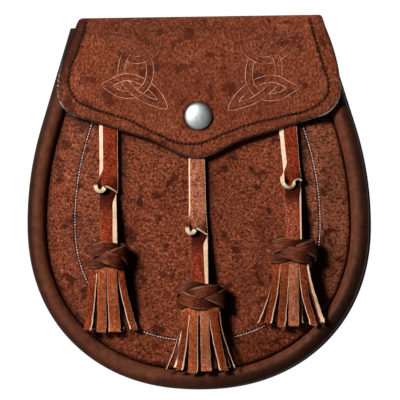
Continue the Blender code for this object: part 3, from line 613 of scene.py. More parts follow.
def mottled_leather(name, dark, middle, light, spot, grain_way):
    """Speckled leather: dense dark flecks, paler spots and soft dark clouds; darker where marked for burnishing,
    painted shade and grooves, and paler where marked with painted light.
    """
    paint = Paint(name, 0.5)
    streaks = paint.stretched(*grain_way)
    colour = paint.clouded(middle, light, (0.0060, 4.0, 0.65, streaks), 0.36, 0.64)
    flecks = paint.span(paint.noise(0.0017, 3.0, 0.75, streaks), 0.45, 0.59, 0.90)
    # painted light where marked
    colour = paint.blend(paint.times(paint.attribute("painted_light"), 0.16), colour, spot)
    colour = paint.blend(flecks, colour, dark)
    askew = paint.stretched((1.3, 1.0, 1.0), 0.4)
    colour = paint.clouded(colour, spot, (0.0017, 2.0, 0.6, askew), 0.56, 0.66, 0.55)
    colour = paint.clouded(colour, dark, (0.0009, 2.0, 0.6, streaks), 0.55, 0.66, 0.65)
    colour = paint.clouded(colour, scaled(dark, 0.8), (0.0070, 2.0, 0.5), 0.58, 0.67, 0.78)
    colour = paint.clouded(colour, dark, (0.0400, 2.0), 0.42, 0.62, 0.30)
    # burnishing and painted shade where marked
    colour = paint.blend(paint.attribute("burnish_and_painted_shade"), colour, BURNT_AND_SHADE)
    # darker along grooves, and painted shadow where marked
    colour = paint.blend(paint.attribute("groove_and_painted_shade"), colour, scaled(dark, 0.35))
    pale_patches = paint.times(paint.attribute("scuff"), paint.span(paint.noise(0.0014, 3.0, 0.7), 0.40, 0.58))
    colour = paint.blend(pale_patches, colour, SCUFFED)
    paint.bump(flecks, 0.00007, invert=True)
    paint.bump(paint.cells(0.0010), 0.00006, invert=True)
    paint.bump(paint.noise(0.0040, 4.0, 0.6), 0.00015)
    return paint.done(colour, paint.span(flecks, 0.0, 1.0, 0.64, 0.50), Specular_IOR_Level=0.03)


def face_profile(insets):
    """Height of the front panel's outer face at each distance inside the outline, past its bend."""
    return FACE_EDGE_Z + (FACE_Z - FACE_EDGE_Z) * rise(insets, FACE_INSET, FACE_CROWN_WIDTH)


def uneven(stops, counts):
    """Steps from stop to stop, with its own count between each pair."""
    spans = [np.linspace(a, b, count + 1)[:-1] for a, b, count in zip(stops, stops[1:], counts)]
    return np.concatenate(spans + [[stops[-1]]])


face_leather = mottled_leather("speckled_face_leather", (0.030, 0.0045, 0.0016), (0.188, 0.035, 0.0132),
                               (0.245, 0.059, 0.024), (0.430, 0.155, 0.080), ((1.1, 1.35, 1.0), 0.25))
bend = np.linspace(0.0, 0.5 * np.pi, 9)
bend_inset = FACE_INSET + FACE_BEND * (1.0 - np.cos(bend))
bend_z = face_profile(bend_inset) - FACE_BEND * (1.0 - np.sin(bend))
flat_inset = uneven((FACE_INSET + FACE_BEND, BEAD_INSET - BEAD_GROOVE_REACH, BEAD_INSET + BEAD_GROOVE_REACH, 0.0480),
                    (11, 14, 9))[1:]
face_line = points_at(np.concatenate([[FACE_INSET], bend_inset, flat_inset]),
                      np.concatenate([[INNER_FLANGE_Z], bend_z, face_profile(flat_inset)]))
face_back = face_line - LEATHER * normals_of(face_line)
groove = BEAD_GROOVE_DEPTH * halo(face_line[:, 0] - BEAD_INSET, BEAD_GROOVE_WIDTH)
face_outer = nested_grid(face_line[:, 0], face_line[:, 1] - groove, FACE_COLUMNS)
face_inner = nested_grid(face_back[:, 0], face_back[:, 1], FACE_COLUMNS)
front_panel = slab("front_panel_leather", face_outer, face_inner, [face_leather, raw_leather],
                   rims={"first": 0, "left": 1, "right": 1})
face_points = points_of(front_panel)
x, y, z = face_points.T
bead_line = pouch_outline(BEAD_INSET, MOUTH_Y, 2 * FACE_COLUMNS)
from_beads = distance_to(face_points, bead_line)
# darker along the bead groove
mark(front_panel, "groove_and_painted_shade", BEAD_DARK * halo(from_beads, BEAD_DARK_WIDTH) * (z > FACE_Z - 0.0015))
from_edge = distance_to(face_points, pouch_outline(FACE_INSET, MOUTH_Y, 2 * FACE_COLUMNS))
# painted shade in the valley between the face and the roll, deepest on the left
shaded = (EDGE_DARK[0] - EDGE_DARK[1] * rise(x, *EDGE_DARK_TURN)) * halo(from_edge, EDGE_DARK_WIDTH)
# painted shadow of the flap on the face below its lower edge
edge_x, edge_y, shadow_strength = np.array(FLAP_SHADOW).T
below_flap = np.interp(x, MM * edge_x, MM * edge_y) - y
flap_shadow = np.interp(x, MM * edge_x, shadow_strength) * fall(below_flap, *FLAP_SHADOW_FADE)
# painted shadows on the face beside the thongs and tassels
from_thong = np.min([np.hypot(x - MM * thong_x, y - np.clip(y, MM * low, MM * high))
                     for thong_x, high, low in THONG_SHADOWS], axis=0)
thong_shadows = THONG_SHADOW * fall(from_thong, *THONG_SHADOW_FADE)
mark(front_panel, "burnish_and_painted_shade", np.maximum(shaded, np.maximum(flap_shadow, thong_shadows)))
# painted light: the face is paler near its left and on its right side
mark(front_panel, "painted_light", halo(x - LIT_LEFT_X, LIT_LEFT_WIDTH) + LIT_RIGHT * rise(x, *LIT_RIGHT_TURN))
finish_piece(front_panel, "mottled_leather", "front_panel")


def stitch_nodes():
    """Node tree that sets a row of small rounded stitches or beads along a line."""
    tree = bpy.data.node_groups.new("row_of_stitches", "GeometryNodeTree")
    face = tree.interface
    face.new_socket("Geometry", in_out="INPUT", socket_type="NodeSocketGeometry")
    for name in ("Pitch", "Length", "Width", "Height", "Slant"):
        face.new_socket(name, in_out="INPUT", socket_type="NodeSocketFloat")
    face.new_socket("Thread", in_out="INPUT", socket_type="NodeSocketMaterial")
    face.new_socket("Geometry", in_out="OUTPUT", socket_type="NodeSocketGeometry")

    def node(kind, inputs=(), **settings):
        return add_node(tree, kind, inputs, **settings)

    given = node("NodeGroupInput").outputs
    line = node("GeometryNodeMeshToCurve", {"Mesh": given["Geometry"]}).outputs["Curve"]
    spaced = node("GeometryNodeResampleCurve", {"Curve": line, "Length": given["Pitch"]}, mode="LENGTH")
    grain = node("GeometryNodeMeshUVSphere", {"Segments": 8, "Rings": 5, "Radius": 0.5}).outputs["Mesh"]
    size = node("ShaderNodeCombineXYZ", {"X": given["Length"], "Y": given["Width"], "Z": given["Height"]})
    stitch = node("GeometryNodeTransform", {"Geometry": grain, "Scale": size.outputs[0]}).outputs["Geometry"]
    along = node("FunctionNodeAlignRotationToVector", {"Vector": node("GeometryNodeInputTangent").outputs[0]},
                 axis="X", pivot_axis="Z")
    chance = node("FunctionNodeRandomValue", {2: -0.10, 3: 0.10, "Seed": 11}, data_type="FLOAT")
    slant = node("ShaderNodeMath", {0: given["Slant"], 1: chance.outputs[1]}, operation="ADD")
    turned = node("FunctionNodeAxisAngleToRotation", {"Axis": (0.0, 0.0, 1.0), "Angle": slant.outputs[0]})
    rotated = node("FunctionNodeRotateRotation", {"Rotation": along.outputs["Rotation"],
                                                  "Rotate By": turned.outputs["Rotation"]}, rotation_space="LOCAL")
    larger = node("FunctionNodeRandomValue", {2: 0.88, 3: 1.12, "Seed": 5}, data_type="FLOAT")
    laid = node("GeometryNodeInstanceOnPoints", {"Points": spaced.outputs["Curve"], "Instance": stitch,
                                                 "Rotation": rotated.outputs["Rotation"], "Scale": larger.outputs[1]})
    whole = node("GeometryNodeRealizeInstances", {"Geometry": laid.outputs["Instances"]})
    thread = node("GeometryNodeSetMaterial", {"Geometry": whole.outputs["Geometry"], "Material": given["Thread"]})
    node("NodeGroupOutput", {"Geometry": thread.outputs["Geometry"]})
    return tree


def stitch_along(name, line, height, thread, slot, **sizes):
    """Row of stitches on a flat line of points at a height, as a plain mesh of its own."""
    mesh = bpy.data.meshes.new(name)
    mesh.from_pydata(points_at(*np.transpose(line), height).tolist(), [(i, i + 1) for i in range(len(line) - 1)], [])
    row = placed(name, mesh)
    modifier = row.modifiers.new("stitches", "NODES")
    modifier.node_group = stitch_row
    values = dict(sizes, Thread=thread)
    for socket in stitch_row.interface.items_tree:
        if socket.in_out == "INPUT" and socket.name in values:
            modifier[socket.identifier] = values[socket.name]
    settle(row, sharp=180.0)
    finish_piece(row, slot)


stitch_row = stitch_nodes()
bead_leather = plain_leather("pale_bead_leather", (0.05, 0.02, 0.015), (0.45, 0.28, 0.25), (0.85, 0.68, 0.64),
                             roughness=0.45, grain=0.00002)
stitch_along("front_panel_beads", bead_line, FACE_Z - 0.75 * BEAD_GROOVE_DEPTH, bead_leather, "mottled_leather",
             Pitch=BEAD_PITCH, Length=BEAD_LENGTH, Width=BEAD_WIDTH, Height=BEAD_WIDTH)
back_thread = plain_leather("dark_waxed_thread", (0.010, 0.006, 0.005), (0.028, 0.014, 0.010),
                            (0.060, 0.035, 0.026), roughness=0.5, grain=0.00003, grain_size=0.0004)
seam_line = pouch_outline(BACK_SEAM_INSET, MOUTH_Y - 0.002, 200)
for name, seam_z in (("back_seam_stitches", BACK_SEAM_Z), ("flange_seam_stitches", flange_z + 0.5 * GUSSET_LEATHER)):
    stitch_along(name, seam_line, seam_z, back_thread, "back_leather", **SEAM_STITCH)

# ---- Flap ----
# One sheet of the same speckled leather, sewn to the back, laid over the mouth and down the face.
# A groove with a row of dark stitches follows its burnished edge, and the cut rim is pale.
FLAP_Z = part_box("flap")[1][2]
FOLD_RADIUS = 0.0070
FOLD_Y = HALF_HEIGHT - FOLD_RADIUS
FLAP_X = 0.0026
FLAP_HALF_WIDTH = 0.0764
FLAP_HALF_WIDTHS = (0.0770, 0.0750)  # left and right of its middle
FLAP_FOLD_HALF_WIDTH = 0.0672
FLAP_TOP_HALF_WIDTH = 0.0643
FLAP_TAIL_HALF_WIDTH = 0.0610
FLAP_TAIL_Y = 0.0740
FLAP_CORNER_RADIUS = 0.0150
FLAP_FLANK_Y = 0.0258
FLAP_FLANK_SLOPE = 0.309
FLAP_SKEW = -0.020
FLAP_TIP_X = -0.0026
FLAP_TIP_DIP = 0.0044
FLAP_TIP_HALF_WIDTH = 0.0260
FLAP_TIP_ROUNDING = 0.0080
FLAP_FLARE_POWER = 1.8
FLAP_SIDE_DROOP = 0.0006
FLAP_DROOP_X = 0.0480
FLAP_DROOP_WIDTH = 0.0280
FLAP_DROOP_LENGTH = 0.0200
SEWN_GROOVE_DEPTH = 0.00028
SEWN_GROOVE_WIDTH = 0.00055
SEWN_STITCH = dict(Pitch=0.0022, Length=0.0019, Width=0.00165, Height=0.00070, Slant=0.55)
SEWN_SINK = 0.00015                 # how far the stitches lie in their groove
TAIL_SEAM_HALF = 0.0570
TAIL_SEAM_UP = 0.0040
MARGIN = (0.0050, 0.0030)           # its burnished margin: width and fade
MARGIN_DARK = (0.12, 0.62)          # all round, and how much more in the upper left
UPPER_LEFT = ((0.030, 0.030), (0.050, 0.030))
FOLD_DARK, FOLD_DARK_Y, FOLD_DARK_X = 0.32, (0.0865, 0.0070), (0.0, 0.050)
RIM_DARK, RIM_DARK_WIDTH, SCUFF_WIDTH = 0.90, 0.0012, 0.00065
# painted shadow in a ring round the snap cap: its strength, and where it ends and fades
CAP_SHADOW, CAP_SHADOW_REACH = 0.97, (0.0080, 0.0005)
SEWN_DARK, SEWN_DARK_WIDTH = 0.75, 0.00075
WORN_RIM_DEPTH = 0.00030
WORN_RIM_WIDTH = 0.0012
SNAP_X, SNAP_Y = 0.0015, 0.0463
# where the rim's corners and tip are scuffed pale, in mm: x, y, reach; and how strongly
RIM_SCUFFS = ((-73.0, 59.0, 10.5, 1.0), (74.0, 50.0, 14.0, 0.6), (2.0, 26.0, 12.0, 0.12))
# the stitched line in mm, from the fold down the left side and up the right
SEWN_LINE = (
    (-58.4, 97.0), (-60.0, 91.5), (-61.8, 86.7), (-63.3, 81.9), (-64.8, 78.4), (-66.3, 75.4), (-67.5, 71.9),
    (-68.0, 67.7), (-68.1, 64.2), (-67.2, 61.1), (-65.7, 58.3), (-63.6, 55.4), (-60.6, 53.3), (-57.0, 51.9),
    (-53.5, 50.4), (-46.1, 48.1), (-35.4, 44.5), (-30.0, 41.6), (-24.6, 38.8), (-19.2, 36.4), (-14.8, 34.1),
    (-10.3, 32.3), (-5.3, 31.5), (-1.0, 31.3), (3.1, 31.8), (7.6, 33.5), (12.0, 35.5), (16.5, 37.1), (21.0, 38.8),
    (25.5, 40.6), (30.0, 41.7), (34.4, 42.9), (39.8, 44.1), (47.8, 45.8), (56.4, 47.5), (60.2, 48.9), (63.9, 50.7),
    (67.2, 53.2), (69.6, 55.6), (70.9, 58.3), (71.2, 61.5), (70.7, 65.8), (69.6, 69.0), (68.2, 73.3), (66.8, 78.1),
    (65.8, 81.9), (64.5, 86.2), (63.1, 91.0), (61.7, 97.0))


def flap_edge_y(x):
    """Lower edge of the flap: two flanks that meet in a rounded point, and an arc at each corner."""
    side = np.where(x < 0.0, -1.0, 1.0)

    def flank(at):
        from_tip = np.abs(at - FLAP_TIP_X)
        near_tip = np.maximum(0.0, 1.0 - (from_tip / FLAP_TIP_HALF_WIDTH) ** 2)
        rounded = np.hypot(from_tip, FLAP_TIP_ROUNDING * near_tip)
        return FLAP_FLANK_Y + FLAP_FLANK_SLOPE * rounded - FLAP_TIP_DIP * near_tip ** 2 + FLAP_SKEW * at

    corner_x = FLAP_HALF_WIDTH - FLAP_CORNER_RADIUS
    slope = FLAP_FLANK_SLOPE + side * FLAP_SKEW
    steep = np.hypot(1.0, slope)
    reach = np.clip(np.abs(x) - corner_x, 0.0, FLAP_CORNER_RADIUS)
    arc = (flank(side * corner_x) + FLAP_CORNER_RADIUS * steep
           - np.sqrt(np.maximum(0.0, FLAP_CORNER_RADIUS ** 2 - reach ** 2)))
    return np.where(np.abs(x) < corner_x + FLAP_CORNER_RADIUS * slope / steep, flank(x), arc)


def flap_half_width(y, side):
    """Half the flap's width at a height, growing from the fold down to the round corners."""
    corner_y = flap_edge_y(side * FLAP_HALF_WIDTH)
    share = np.clip((y - corner_y) / (FOLD_Y - corner_y), 0.0, 1.0)
    lower = np.where(np.asarray(side) < 0.0, *FLAP_HALF_WIDTHS)
    return lower - (lower - FLAP_FOLD_HALF_WIDTH) * share ** FLAP_FLARE_POWER


def flap_height(x, y):
    """Outer face of the flap, which sinks a little towards its sides."""
    at_side = rise(np.abs(x), FLAP_DROOP_X, FLAP_DROOP_WIDTH)
    return FLAP_Z - FLAP_SIDE_DROOP * at_side * rise(FOLD_Y - y, 0.0, FLAP_DROOP_LENGTH)


across = uneven((-1.0, -0.975, -0.945, -0.78, 0.0, 0.78, 0.945, 0.975, 1.0), (6, 4, 34, 48, 48, 34, 4, 6))
down = uneven((0.0, 0.80, 0.84, 0.945, 0.975, 1.0), (46, 4, 26, 4, 6))
tail_z = BACK_SEAM_Z - GAP - LEATHER
quarter = np.linspace(0.0, 0.5 * np.pi, 13)
# rows round the fold: y, z, half the width, and the way the leather faces in y and z
wrap_rows = [(y, tail_z, FLAP_TAIL_HALF_WIDTH, 0.0, -1.0) for y in np.linspace(FLAP_TAIL_Y, FOLD_Y, 10)[:-1]]
for start, centre_z, first, last in ((-0.5 * np.pi, tail_z + FOLD_RADIUS, FLAP_TAIL_HALF_WIDTH, FLAP_TOP_HALF_WIDTH),
                                     (0.0, FLAP_Z - FOLD_RADIUS, FLAP_TOP_HALF_WIDTH, FLAP_FOLD_HALF_WIDTH)):
    for step in quarter:
        facing_y, facing_z = np.cos(start + step), np.sin(start + step)
        wrap_rows.append((FOLD_Y + FOLD_RADIUS * facing_y, centre_z + FOLD_RADIUS * facing_z,
                          first + (last - first) * step / quarter[-1], facing_y, facing_z))
rows, normals = [], []
for y, z, half_width, *facing in wrap_rows:
    rows.append(points_at(FLAP_X + across * half_width, y, z))
    normals.append(np.tile((0.0, *facing), (len(across), 1)))
lower_edge = flap_edge_y(across * FLAP_HALF_WIDTH)
for share in down[1:]:
    y = FOLD_Y - share * (FOLD_Y - lower_edge)
    x = across * flap_half_width(y, np.where(across < 0.0, -1.0, 1.0))
    rows.append(points_at(FLAP_X + x, y, flap_height(x, y)))
    normals.append(np.tile((0.0, 0.0, 1.0), (len(across), 1)))
flap_outer, flap_normals = np.array(rows), np.array(normals)
flap_inner = flap_outer - LEATHER * flap_normals
rim_x = np.linspace(-FLAP_HALF_WIDTH, FLAP_HALF_WIDTH, 500)
sides = []
for side in (-1.0, 1.0):
    side_y = np.linspace(FOLD_Y + 0.03, float(flap_edge_y(np.array(side * FLAP_HALF_WIDTH))), 160)[:-1]
    sides.append(points_at(FLAP_X + side * flap_half_width(side_y, side), side_y))
rim_scale = np.where(rim_x < 0.0, *FLAP_HALF_WIDTHS) / FLAP_HALF_WIDTH
flap_rim = np.vstack([sides[0], points_at(FLAP_X + rim_x * rim_scale, flap_edge_y(rim_x)), sides[1][::-1]])
sewn_flat = smooth_line(SEWN_LINE, 8) * MM
wrapped = len(wrap_rows)
from_rim = distance_to(flap_outer.reshape(-1, 3), flap_rim).reshape(flap_outer.shape[:2])
wrap_half = np.array([row[2] for row in wrap_rows])[:, None]
from_rim[:wrapped] = wrap_half * (1.0 - np.abs(across))[None, :]
from_sewn = distance_to(flap_outer.reshape(-1, 3), sewn_flat).reshape(flap_outer.shape[:2])
from_sewn[:wrapped - len(quarter)] = 1.0
sewn_groove = SEWN_GROOVE_DEPTH * halo(from_sewn, SEWN_GROOVE_WIDTH)
worn_rim = WORN_RIM_DEPTH * np.maximum(0.0, 1.0 - from_rim / WORN_RIM_WIDTH) ** 2
flap_outer = flap_outer - (sewn_groove + worn_rim)[..., None] * flap_normals
flap_leather = mottled_leather("speckled_flap_leather", (0.062, 0.0100, 0.0036), (0.190, 0.036, 0.0127),
                               (0.250, 0.064, 0.026), (0.380, 0.145, 0.080), ((1.45, 0.9, 1.0), -0.12))
flap = slab("flap_leather", flap_outer, flap_inner, [flap_leather, raw_leather],
            rims={"first": 1, "last": 1, "left": 1, "right": 1}, edge_round=0.00025)
flap_points = points_of(flap)
x, y, z = flap_points.T
on_front = (z > 0.5 * FLAP_Z).astype(float)
from_rim = np.where(y > FOLD_Y, FLAP_FOLD_HALF_WIDTH - np.abs(x - FLAP_X), distance_to(flap_points, flap_rim))
margin = fall(from_rim, *MARGIN)
at_margin = (MARGIN_DARK[0] + MARGIN_DARK[1] * rise(-x, *UPPER_LEFT[0]) * rise(y, *UPPER_LEFT[1])) * margin
near_fold = FOLD_DARK * rise(y, *FOLD_DARK_Y) * fall(x, *FOLD_DARK_X) * (1.0 - margin)
mark(flap, "burnish_and_painted_shade", on_front * np.minimum(1.0, at_margin + near_fold + RIM_DARK * halo(from_rim, RIM_DARK_WIDTH)))
scuffs = sum(strength * halo(np.hypot(x - MM * spot_x, y - MM * spot_y), MM * reach)
             for spot_x, spot_y, reach, strength in RIM_SCUFFS)
mark(flap, "scuff", on_front * scuffs * halo(from_rim, SCUFF_WIDTH))
# painted shadow round the snap cap, and darker along the stitch groove
cap_shadow = CAP_SHADOW * fall(np.hypot(x - SNAP_X, y - SNAP_Y), *CAP_SHADOW_REACH)
under_stitches = SEWN_DARK * halo(distance_to(flap_points, sewn_flat), SEWN_DARK_WIDTH)
mark(flap, "groove_and_painted_shade", on_front * np.maximum(under_stitches, cap_shadow))
finish_piece(flap, "mottled_leather", "flap")

flap_thread = plain_leather("brown_flap_thread", (0.003, 0.001, 0.0005), (0.012, 0.004, 0.002),
                            (0.040, 0.014, 0.008), roughness=0.7, grain=0.00003, grain_size=0.0004, gloss=0.02)
over_fold = np.maximum(0.0, sewn_flat[:, 1] - FOLD_Y)
sewn_z = (flap_height(sewn_flat[:, 0] - FLAP_X, sewn_flat[:, 1]) - SEWN_SINK
          - FOLD_RADIUS + np.sqrt(FOLD_RADIUS ** 2 - over_fold ** 2))
stitch_along("flap_stitches", sewn_flat, sewn_z, flap_thread, "mottled_leather", **SEWN_STITCH)
tail_line = points_at(FLAP_X + np.linspace(-TAIL_SEAM_HALF, TAIL_SEAM_HALF, 40), FLAP_TAIL_Y + TAIL_SEAM_UP)
stitch_along("flap_tail_stitches", tail_line, tail_z, back_thread, "mottled_leather", **SEAM_STITCH)

# ---- Interlace on the flap ----
# A traditional knot is pressed into each half of the flap: a band between two fine raised
# lines that passes over and under itself.
BAND_HALF = 0.00185
BAND_LINE = 0.00019
BAND_SHADE_HALF = 0.00135              # dark lines inside the band: painted shade of its pressed edges
BAND_STEPS = 24                     # points of a line between two of a run's own
APART = 8                           # fewest points between two crossings
BESIDE_CROSSING = 34                # points beside a crossing that it can hide
OVER_BAND = 30                      # points of the band on each side that lies over it
BESIDE_TIP = 0.011                  # reach of a tip, where two runs meet
BAND_RUNS = (
    ((19.5, 50.8), (30.6, 54.1), (39.3, 60.1), (44.4, 67.3), (43.6, 76.9), (38.3, 84.5), (30.1, 90.1), (25.9, 90.0)),
    ((25.9, 90.0), (26.9, 81.7), (33.9, 76.1), (41.6, 76.3), (49.9, 81.1), (56.1, 89.0)),
    ((56.1, 89.0), (44.1, 87.3), (35.2, 81.9), (29.6, 74.0), (29.3, 63.9), (34.9, 56.9), (44.2, 56.3), (52.6, 60.7)),
    ((52.6, 60.7), (42.4, 65.6), (32.1, 63.6), (23.6, 57.2), (19.5, 50.8)))
MIRROR_X = (-2.64, -0.963, 0.089)
MIRROR_Y = (2.41, 0.059, 0.955)


def barrel_faces(rows, columns, start=0):
    """Faces of a closed barrel: a grid wrapped round, with both its ends filled."""
    ends = range(columns), reversed(range((rows - 1) * columns, rows * columns))
    return (grid_faces(rows, columns, wrap=True, start=start)
            + [tuple(start + index for index in end) for end in ends])


def tube(line, radius, sides):
    """Points and faces of a closed thin tube round a line."""
    tangent = unit(np.gradient(line, axis=0))
    across_line = np.cross(tangent, (0.0, 0.0, 1.0))
    upwards = np.cross(across_line, tangent)
    turns = np.arange(sides) * 2.0 * np.pi / sides
    ring = (np.cos(turns)[None, :, None] * across_line[:, None, :]
            + np.sin(turns)[None, :, None] * upwards[:, None, :]) * radius
    return (line[:, None, :] + ring).reshape(-1, 3), barrel_faces(len(line), sides)


def band_lines(runs, half):
    """Two lines along an interlaced band, this far from its middle and broken where it passes under itself."""
    curves = [smooth_line(run, BAND_STEPS) * MM for run in runs]
    centre = np.vstack([curve[:-1] for curve in curves])
    owner = np.concatenate([np.full(len(curve) - 1, k) for k, curve in enumerate(curves)])
    count = len(centre)
    crossings = []
    for i in range(count):
        a, b = centre[i], centre[(i + 1) % count]
        for j in range(i + APART, count - (APART if i < APART else 0)):
            c, d = centre[j], centre[(j + 1) % count]
            first, second, offset = b - a, d - c, c - a
            area = first[0] * second[1] - first[1] * second[0]
            if abs(area) < 1e-15:
                continue
            s = (offset[0] * second[1] - offset[1] * second[0]) / area
            t = (offset[0] * first[1] - offset[1] * first[0]) / area
            if 0.0 <= s < 1.0 and 0.0 <= t < 1.0:
                crossings.append((i, j))
    met = sorted([(pair[side], k) for k, pair in enumerate(crossings) for side in (0, 1)])
    under = [(at, crossings[k]) for turn_number, (at, k) in enumerate(met) if turn_number % 2]
    lines = []
    for k, curve in enumerate(curves):
        normal = normals_of(curve)
        start = int(np.argmax(owner == k))
        for side in (-1.0, 1.0):
            line = curve + side * half * normal
            seen = np.ones(len(line), dtype=bool)
            for at, pair in under:
                other = pair[1] if at == pair[0] else pair[0]
                if owner[at] != k:
                    continue
                near = np.abs(np.arange(len(line)) + start - at) < BESIDE_CROSSING
                over_band = centre[np.arange(other - OVER_BAND, other + OVER_BAND + 1) % count]
                seen &= ~(near & (distance_to(line, over_band) < BAND_HALF + 0.6 * BAND_LINE))
            for neighbour, tip, reach in ((k - 1, curve[0], slice(-OVER_BAND, -1)),
                                          ((k + 1) % len(curves), curve[-1], slice(1, OVER_BAND))):
                at_tip = np.linalg.norm(line - tip, axis=1) < BESIDE_TIP
                seen &= ~(at_tip & (distance_to(line, curves[neighbour][reach]) < half * 0.985))
            pieces = np.split(np.arange(len(line)), np.flatnonzero(np.diff(seen.astype(int))) + 1)
            lines += [line[piece] for piece in pieces if seen[piece[0]] and len(piece) > 3]
        tip = curve[-1]
        after = curves[(k + 1) % len(curves)]
        leaving, coming = unit(curve[-1] - curve[-2]), unit(after[1] - after[0])
        outwards = unit(leaving - coming)
        outer_side = -np.sign(leaving[0] * coming[1] - leaving[1] * coming[0])
        ends = [tip + outer_side * half * np.array((-leaving[1], leaving[0])), tip + outwards * 1.25 * half,
                tip + outer_side * half * np.array((-coming[1], coming[0]))]
        lines.append(smooth_line(ends, 6))
    return lines


def band_paint():
    """Ridges of the pressed band: pale low on the flap, partly wear and partly a painted highlight, and darker near its
    fold.
    """
    paint = Paint("raised_band_line", 0.5)
    height = paint.add("ShaderNodeSeparateXYZ", {"Vector": paint.place}, output=1)
    low = paint.clouded((0.330, 0.115, 0.060), (0.640, 0.330, 0.220), (0.0030,), 0.4, 0.6)
    high = paint.clouded((0.045, 0.012, 0.006), (0.280, 0.085, 0.042), (0.0030,), 0.4, 0.6)
    colour = paint.blend(paint.span(height, 0.072, 0.085), low, high)
    paint.bump(paint.noise(0.0008), 0.00003)
    return paint.done(colour, Specular_IOR_Level=0.15)


band_leather = band_paint()
# painted shade: dark lines that stand for the shade inside the pressed band's edges
band_shade_leather = plain_leather("painted_shade_band_line", (0.020, 0.006, 0.004), (0.060, 0.015, 0.008),
                                (0.100, 0.026, 0.013), roughness=0.6, grain=0.00002, gloss=0.1)
mirrored = tuple(tuple((MIRROR_X[0] + MIRROR_X[1] * x + MIRROR_X[2] * y, MIRROR_Y[0] + MIRROR_Y[1] * x
                        + MIRROR_Y[2] * y) for x, y in run) for run in BAND_RUNS)
for side_name, runs in (("right", BAND_RUNS), ("left", mirrored)):
    band_points, band_faces, band_indices = [], [], []
    for half, lift, number in ((BAND_HALF, 0.3 * BAND_LINE, 0), (BAND_SHADE_HALF, -0.55 * BAND_LINE, 1)):
        for line in band_lines(runs, half):
            lifted = np.column_stack([line, flap_height(line[:, 0] - FLAP_X, line[:, 1]) + lift])
            points, faces = tube(lifted, BAND_LINE, sides=6)
            first = sum(map(len, band_points))
            band_faces += [tuple(first + index for index in face) for face in faces]
            band_indices += [number] * len(faces)
            band_points.append(points)
    band = new_piece("interlace_" + side_name, np.vstack(band_points), band_faces,
                     [band_leather, band_shade_leather], band_indices)
    band.data.shade_smooth()
    finish_piece(band, "mottled_leather")

# ---- Snap ----
# A press stud closes the flap: a turned cap of satin nickel outside, riveted through the
# leather to its socket, which clips on the stud in the front panel.
CAP_LINE = ((0.0, 3.0), (1.6, 2.95), (3.2, 2.77), (4.7, 2.46), (5.8, 2.11), (6.5, 1.76), (6.95, 1.35), (7.25, 0.85),
            (7.45, 0.40), (7.40, 0.10), (7.1, 0.0), (6.0, 0.0), (0.0, 0.0))


def turned(name, profile, centre, material, steps):
    """Piece turned round an upright axis from a profile of radii and heights, closed at both ends."""
    profile = np.array(profile)
    turns = np.linspace(0.0, 2.0 * np.pi, steps, endpoint=False)
    points = points_at(centre[0] + profile[:, :1] * np.cos(turns), centre[1] + profile[:, :1] * np.sin(turns),
                       centre[2] + profile[:, 1:])
    piece = new_piece(name, points, grid_faces(len(profile), steps, wrap=True), [material])
    return settle(piece, sharp=50.0)


def satin_nickel():
    """Nickel plate with a soft satin finish and faint cloudy wear."""
    paint = Paint("satin_nickel", 0.36, metallic=1.0)
    cloud = paint.noise(0.0030, 3.0)
    colour = paint.blend(paint.span(cloud, 0.4, 0.7, 0.5), (0.36, 0.38, 0.375), (0.26, 0.285, 0.285))
    paint.bump(paint.noise(0.0040, 2.0), 0.00004)
    return paint.done(colour, paint.span(cloud, 0.3, 0.7, 0.42, 0.50))


nickel = satin_nickel()
cap_profile = smooth_line(np.array(CAP_LINE) * MM, 3)
cap_profile[:, 0] = np.maximum(cap_profile[:, 0], 0.0)
snap_cap = turned("snap_cap_turned", cap_profile, (SNAP_X, SNAP_Y, FLAP_Z + GAP), nickel, steps=72)
finish_piece(snap_cap, "nickel", "snap_cap")
for carried_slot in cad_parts["snap_stud"].material_slots:
    carried_slot.material = nickel

# ---- Straps ----
# Three thongs of reddish leather, cut with a slanting knife so that a pale edge shows. Each hangs
# from under the flap to a slit loop, where its end curls up over the run that holds the tassel.
THONG = 0.0022
LYING_Z = FACE_Z + GAP + THONG + 0.0006
CURL_LENGTH = 0.0110
CURL_RISE = 0.0060
CURL_CROWDING = 1.8
RUN_ABOVE_LOOP = 0.0070
RUN_DROP = 0.0002
CREAM_LOST = 0.96                   # share of the pale edge that goes where the end curls
CURL_THINNER = 0.5                  # the curled end is pared thinner at its right
CUT_WAVE = 0.05                     # how much the slanted cut's width wavers
KNOT_DEPTH = 0.0150
KNOT_Z = FACE_Z + GAP + 0.5 * KNOT_DEPTH
THIN_CREAM = 0.15                   # mm of pale edge that shows on the side that is cut upright
CUT_DROP = 0.35                     # how far the slanted cut falls, as a share of the thickness
STRIP_EDGE_ROUND = 0.00015
# each knot's middle x and y, width, height, and turn of its weave
KNOTS = {"left": (-0.0485, -0.0274, 0.0244, 0.0146, 0.2),
         "centre": (0.0021, -0.0490, 0.0276, 0.0166, 0.9),
         "right": (0.0506, -0.0258, 0.0278, 0.0136, 1.6)}
